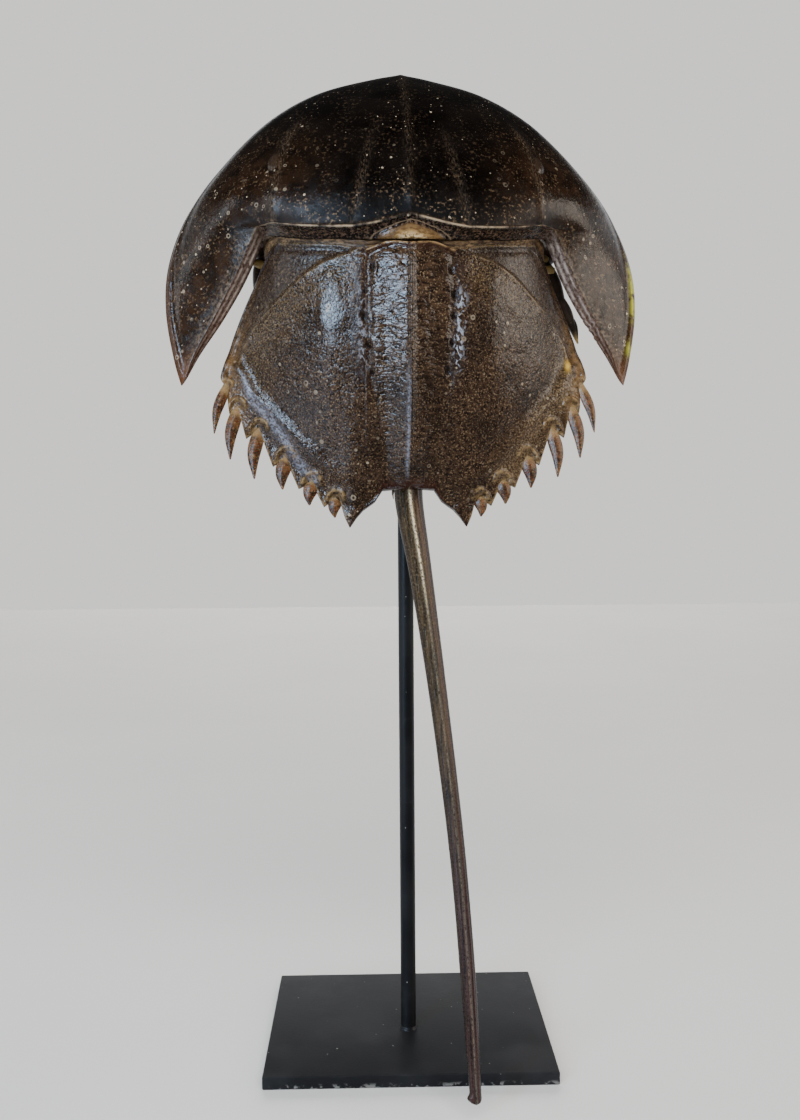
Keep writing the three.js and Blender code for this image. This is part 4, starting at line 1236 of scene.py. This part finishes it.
def studio_world():
    """A pale surround. It lights the object from behind and the sides, and less from overhead and ahead."""
    world = bpy.data.worlds.new("pale_surround")
    bpy.context.scene.world = world
    world.use_nodes = True
    nodes, links = world.node_tree.nodes, world.node_tree.links
    split = nodes.new("ShaderNodeSeparateXYZ")
    links.new(nodes.new("ShaderNodeTexCoord").outputs["Generated"], split.inputs[0])
    shares = []
    for axis, span in SURROUND_FADE.items():
        ramp = nodes.new("ShaderNodeMapRange")
        ramp.interpolation_type = "SMOOTHSTEP"
        links.new(split.outputs[axis], ramp.inputs["Value"])
        for k, number in enumerate(span, 1):
            ramp.inputs[k].default_value = number
        shares.append(ramp.outputs[0])
    strength = nodes.new("ShaderNodeMath")
    strength.operation = "MULTIPLY"
    for k in (0, 1):
        links.new(shares[k], strength.inputs[k])
    lighting, backdrop = nodes["Background"], nodes.new("ShaderNodeBackground")
    lighting.inputs["Color"].default_value = SURROUND_COLOUR
    links.new(strength.outputs[0], lighting.inputs["Strength"])
    backdrop.inputs["Color"].default_value = BACKDROP_COLOUR
    backdrop.inputs["Strength"].default_value = 1.0
    mix = nodes.new("ShaderNodeMixShader")
    links.new(nodes.new("ShaderNodeLightPath").outputs["Is Camera Ray"], mix.inputs[0])
    links.new(lighting.outputs[0], mix.inputs[1])
    links.new(backdrop.outputs[0], mix.inputs[2])
    links.new(mix.outputs[0], nodes["World Output"].inputs["Surface"])


def photo_camera():
    """The camera of the photograph, from its yaw, pitch and roll."""
    yaw, pitch, roll = (math.radians(v) for v in (CAMERA_YAW, CAMERA_PITCH, CAMERA_ROLL))
    level = Vector((math.sin(yaw), math.cos(yaw), 0))
    right = Vector((math.cos(yaw), -math.sin(yaw), 0))
    down = Vector((0, 0, -1))
    forward = level * math.cos(pitch) + down * math.sin(pitch)
    down = down * math.cos(pitch) - level * math.sin(pitch)
    right, down = right * math.cos(roll) + down * math.sin(roll), down * math.cos(roll) - right * math.sin(roll)
    bare_selection()
    bpy.ops.object.camera_add()
    camera = bpy.context.object
    camera.name = "photo_camera"
    camera.matrix_world = Matrix.Translation(CAMERA_PLACE) @ Matrix((right, -down, -forward)).transposed().to_4x4()
    camera.data.sensor_width = CAMERA_SENSOR
    camera.data.lens = CAMERA_LENS
    camera.data.clip_start, camera.data.clip_end = CAMERA_RANGE
    bpy.context.scene.camera = camera


# ---------------------------------------------------------------- operators

class CRAB_OT_stage(bpy.types.Operator):
    """Lays the pale floor and sets the soft lights and the photograph's camera"""
    bl_idname = "crab.stage"
    bl_label = "Studio"
    bl_options = {"REGISTER", "UNDO"}

    def execute(self, context):
        bare_selection()
        bpy.ops.mesh.primitive_plane_add(size=FLOOR_SIZE, location=(0, 0, 0))
        floor = bpy.context.object
        floor.name = floor.data.name = "studio_floor"
        floor.data.materials.append(floor_finish())
        floor.visible_glossy = False
        studio_world()
        photo_camera()
        for light in STUDIO_LIGHTS:
            soft_light(*light)
        return {"FINISHED"}


class CRAB_OT_stand(bpy.types.Operator):
    """Makes the black plate and the rod that carry the animal"""
    bl_idname = "crab.stand"
    bl_label = "Stand"
    bl_options = {"REGISTER", "UNDO"}

    def execute(self, context):
        place_piece(stand_plate(), "base_plate", paint_finish("dusty_black_paint", PLATE_DUST))
        place_piece(stand_rod(), "stand_rod", paint_finish("satin_black_paint", ROD_DUST))
        return {"FINISHED"}


class CRAB_OT_front_shell(bpy.types.Operator):
    """Makes the domed front shield with its eyes, ridges and wings"""
    bl_idname = "crab.front_shell"
    bl_label = "Front shield"
    bl_options = {"REGISTER", "UNDO"}

    def execute(self, context):
        piece = grid_piece("front_shield", (sizes().sections, FRONT_ROWS), front_shell_shape)
        place_piece(piece, "front_shell", front_shell_finish())
        return {"FINISHED"}


class CRAB_OT_rear_shell(bpy.types.Operator):
    """Makes the rear shield with its keel, pits, shelf and toothed edge"""
    bl_idname = "crab.rear_shell"
    bl_label = "Rear shield"
    bl_options = {"REGISTER", "UNDO"}

    def execute(self, context):
        piece = grid_piece("rear_shield", (sizes().sections, REAR_ROWS), rear_shell_shape)
        place_piece(piece, "rear_shell", rear_shell_finish())
        return {"FINISHED"}


class CRAB_OT_hinge_skin(bpy.types.Operator):
    """Makes the folded golden skin between the shields"""
    bl_idname = "crab.hinge_skin"
    bl_label = "Hinge skin"
    bl_options = {"REGISTER", "UNDO"}

    def execute(self, context):
        piece = grid_piece("hinge_fold", SKIN_GRID, hinge_skin_shape)
        place_piece(piece, "hinge_skin", hinge_skin_finish())
        return {"FINISHED"}


class CRAB_OT_tail(bpy.types.Operator):
    """Makes the three-sided tail spine with its toothed ridge"""
    bl_idname = "crab.tail"
    bl_label = "Tail spine"
    bl_options = {"REGISTER", "UNDO"}

    def execute(self, context):
        tail = grid_piece("tail", TAIL_GRID, tail_shape)
        spur = bar("spur", TAIL_SPUR, SPUR_HALF, SPUR_GRID)
        for name in ("ridge", "edge", "right"):
            spur.data.attributes.new(name, "FLOAT", "POINT")
        set_along(spur, 0)
        place_piece(join([tail, spur], "tail"), "tail_spine", tail_finish())
        return {"FINISHED"}


class CRAB_OT_side_spines(bpy.types.Operator):
    """Makes the six movable spines along each edge of the rear shield"""
    bl_idname = "crab.side_spines"
    bl_label = "Side spines"
    bl_options = {"REGISTER", "UNDO"}

    def execute(self, context):
        finish = spine_finish()
        for word, side in SIDES.items():
            for i, (foot, tip, width) in enumerate(SIDE_SPINES, 1):
                piece = spine_piece(f"edge_spine_{word}_{i}", foot, tip, width, side)
                place_piece(piece, f"side_spine_{word}_{i}", finish)
        return {"FINISHED"}


class CRAB_OT_limbs(bpy.types.Operator):
    """Makes the ten walking legs and the two mouth claws"""
    bl_idname = "crab.limbs"
    bl_label = "Legs and mouth claws"
    bl_options = {"REGISTER", "UNDO"}

    def execute(self, context):
        finish = limb_finish()
        half_widths = [LEG_RADIUS * share for share in LEG_TAPER]
        for word, side in SIDES.items():
            for i in range(LEGS):
                piece = limb_piece(f"walking_leg_{word}_{i + 1}", leg_route(i, side), half_widths, side)
                if i == LEGS - 1:
                    knobs = [knuckle("knuckle", *knob) for knob in KNUCKLES[word]]
                    piece = join([piece, *knobs], piece.name)
                place_piece(piece, f"leg_{word}_{i + 1}", finish)
            piece = limb_piece(f"feeding_claw_{word}", MOUTH_CLAW, MOUTH_CLAW_HALF, side)
            place_piece(piece, f"mouth_claw_{word}", finish)
        return {"FINISHED"}


class CRAB_OT_gill_covers(bpy.types.Operator):
    """Makes the six overlapping flaps under the rear shield"""
    bl_idname = "crab.gill_covers"
    bl_label = "Gill covers"
    bl_options = {"REGISTER", "UNDO"}

    def execute(self, context):
        finish = gill_finish()
        for i in range(GILLS):
            piece = grid_piece(f"gill_flap_{i + 1}", GILL_GRID, gill_shape(i))
            place_piece(piece, f"gill_cover_{i + 1}", finish)
        return {"FINISHED"}


STEPS = (CRAB_OT_stage, CRAB_OT_stand, CRAB_OT_front_shell, CRAB_OT_rear_shell, CRAB_OT_hinge_skin, CRAB_OT_tail,
         CRAB_OT_side_spines, CRAB_OT_limbs, CRAB_OT_gill_covers)


class CRAB_PT_panel(bpy.types.Panel):
    """Lists the building steps, the sizes and the colours"""
    bl_idname = "CRAB_PT_panel"
    bl_label = "Horseshoe crab"
    bl_space_type = "VIEW_3D"
    bl_region_type = "UI"
    bl_category = "Crab"

    def draw(self, context):
        layout = self.layout
        for step in STEPS:
            layout.operator(step.bl_idname)
        for group in (context.scene.crab_sizes, context.scene.crab_colours):
            box = layout.box()
            for name in group.__annotations__:
                box.prop(group, name)


CLASSES = (CrabSizes, CrabColours, *STEPS, CRAB_PT_panel)


def register():
    for cls in CLASSES:
        bpy.utils.register_class(cls)
    bpy.types.Scene.crab_sizes = PointerProperty(type=CrabSizes)
    bpy.types.Scene.crab_colours = PointerProperty(type=CrabColours)


def unregister():
    del bpy.types.Scene.crab_colours
    del bpy.types.Scene.crab_sizes
    for cls in reversed(CLASSES):
        bpy.utils.unregister_class(cls)


def main():
    register()
    bpy.ops.crab.stage()
    bpy.ops.crab.stand()
    bpy.ops.crab.front_shell()
    bpy.ops.crab.rear_shell()
    bpy.ops.crab.hinge_skin()
    bpy.ops.crab.tail()
    bpy.ops.crab.side_spines()
    bpy.ops.crab.limbs()
    bpy.ops.crab.gill_covers()


if __name__ == "__main__":
    main()
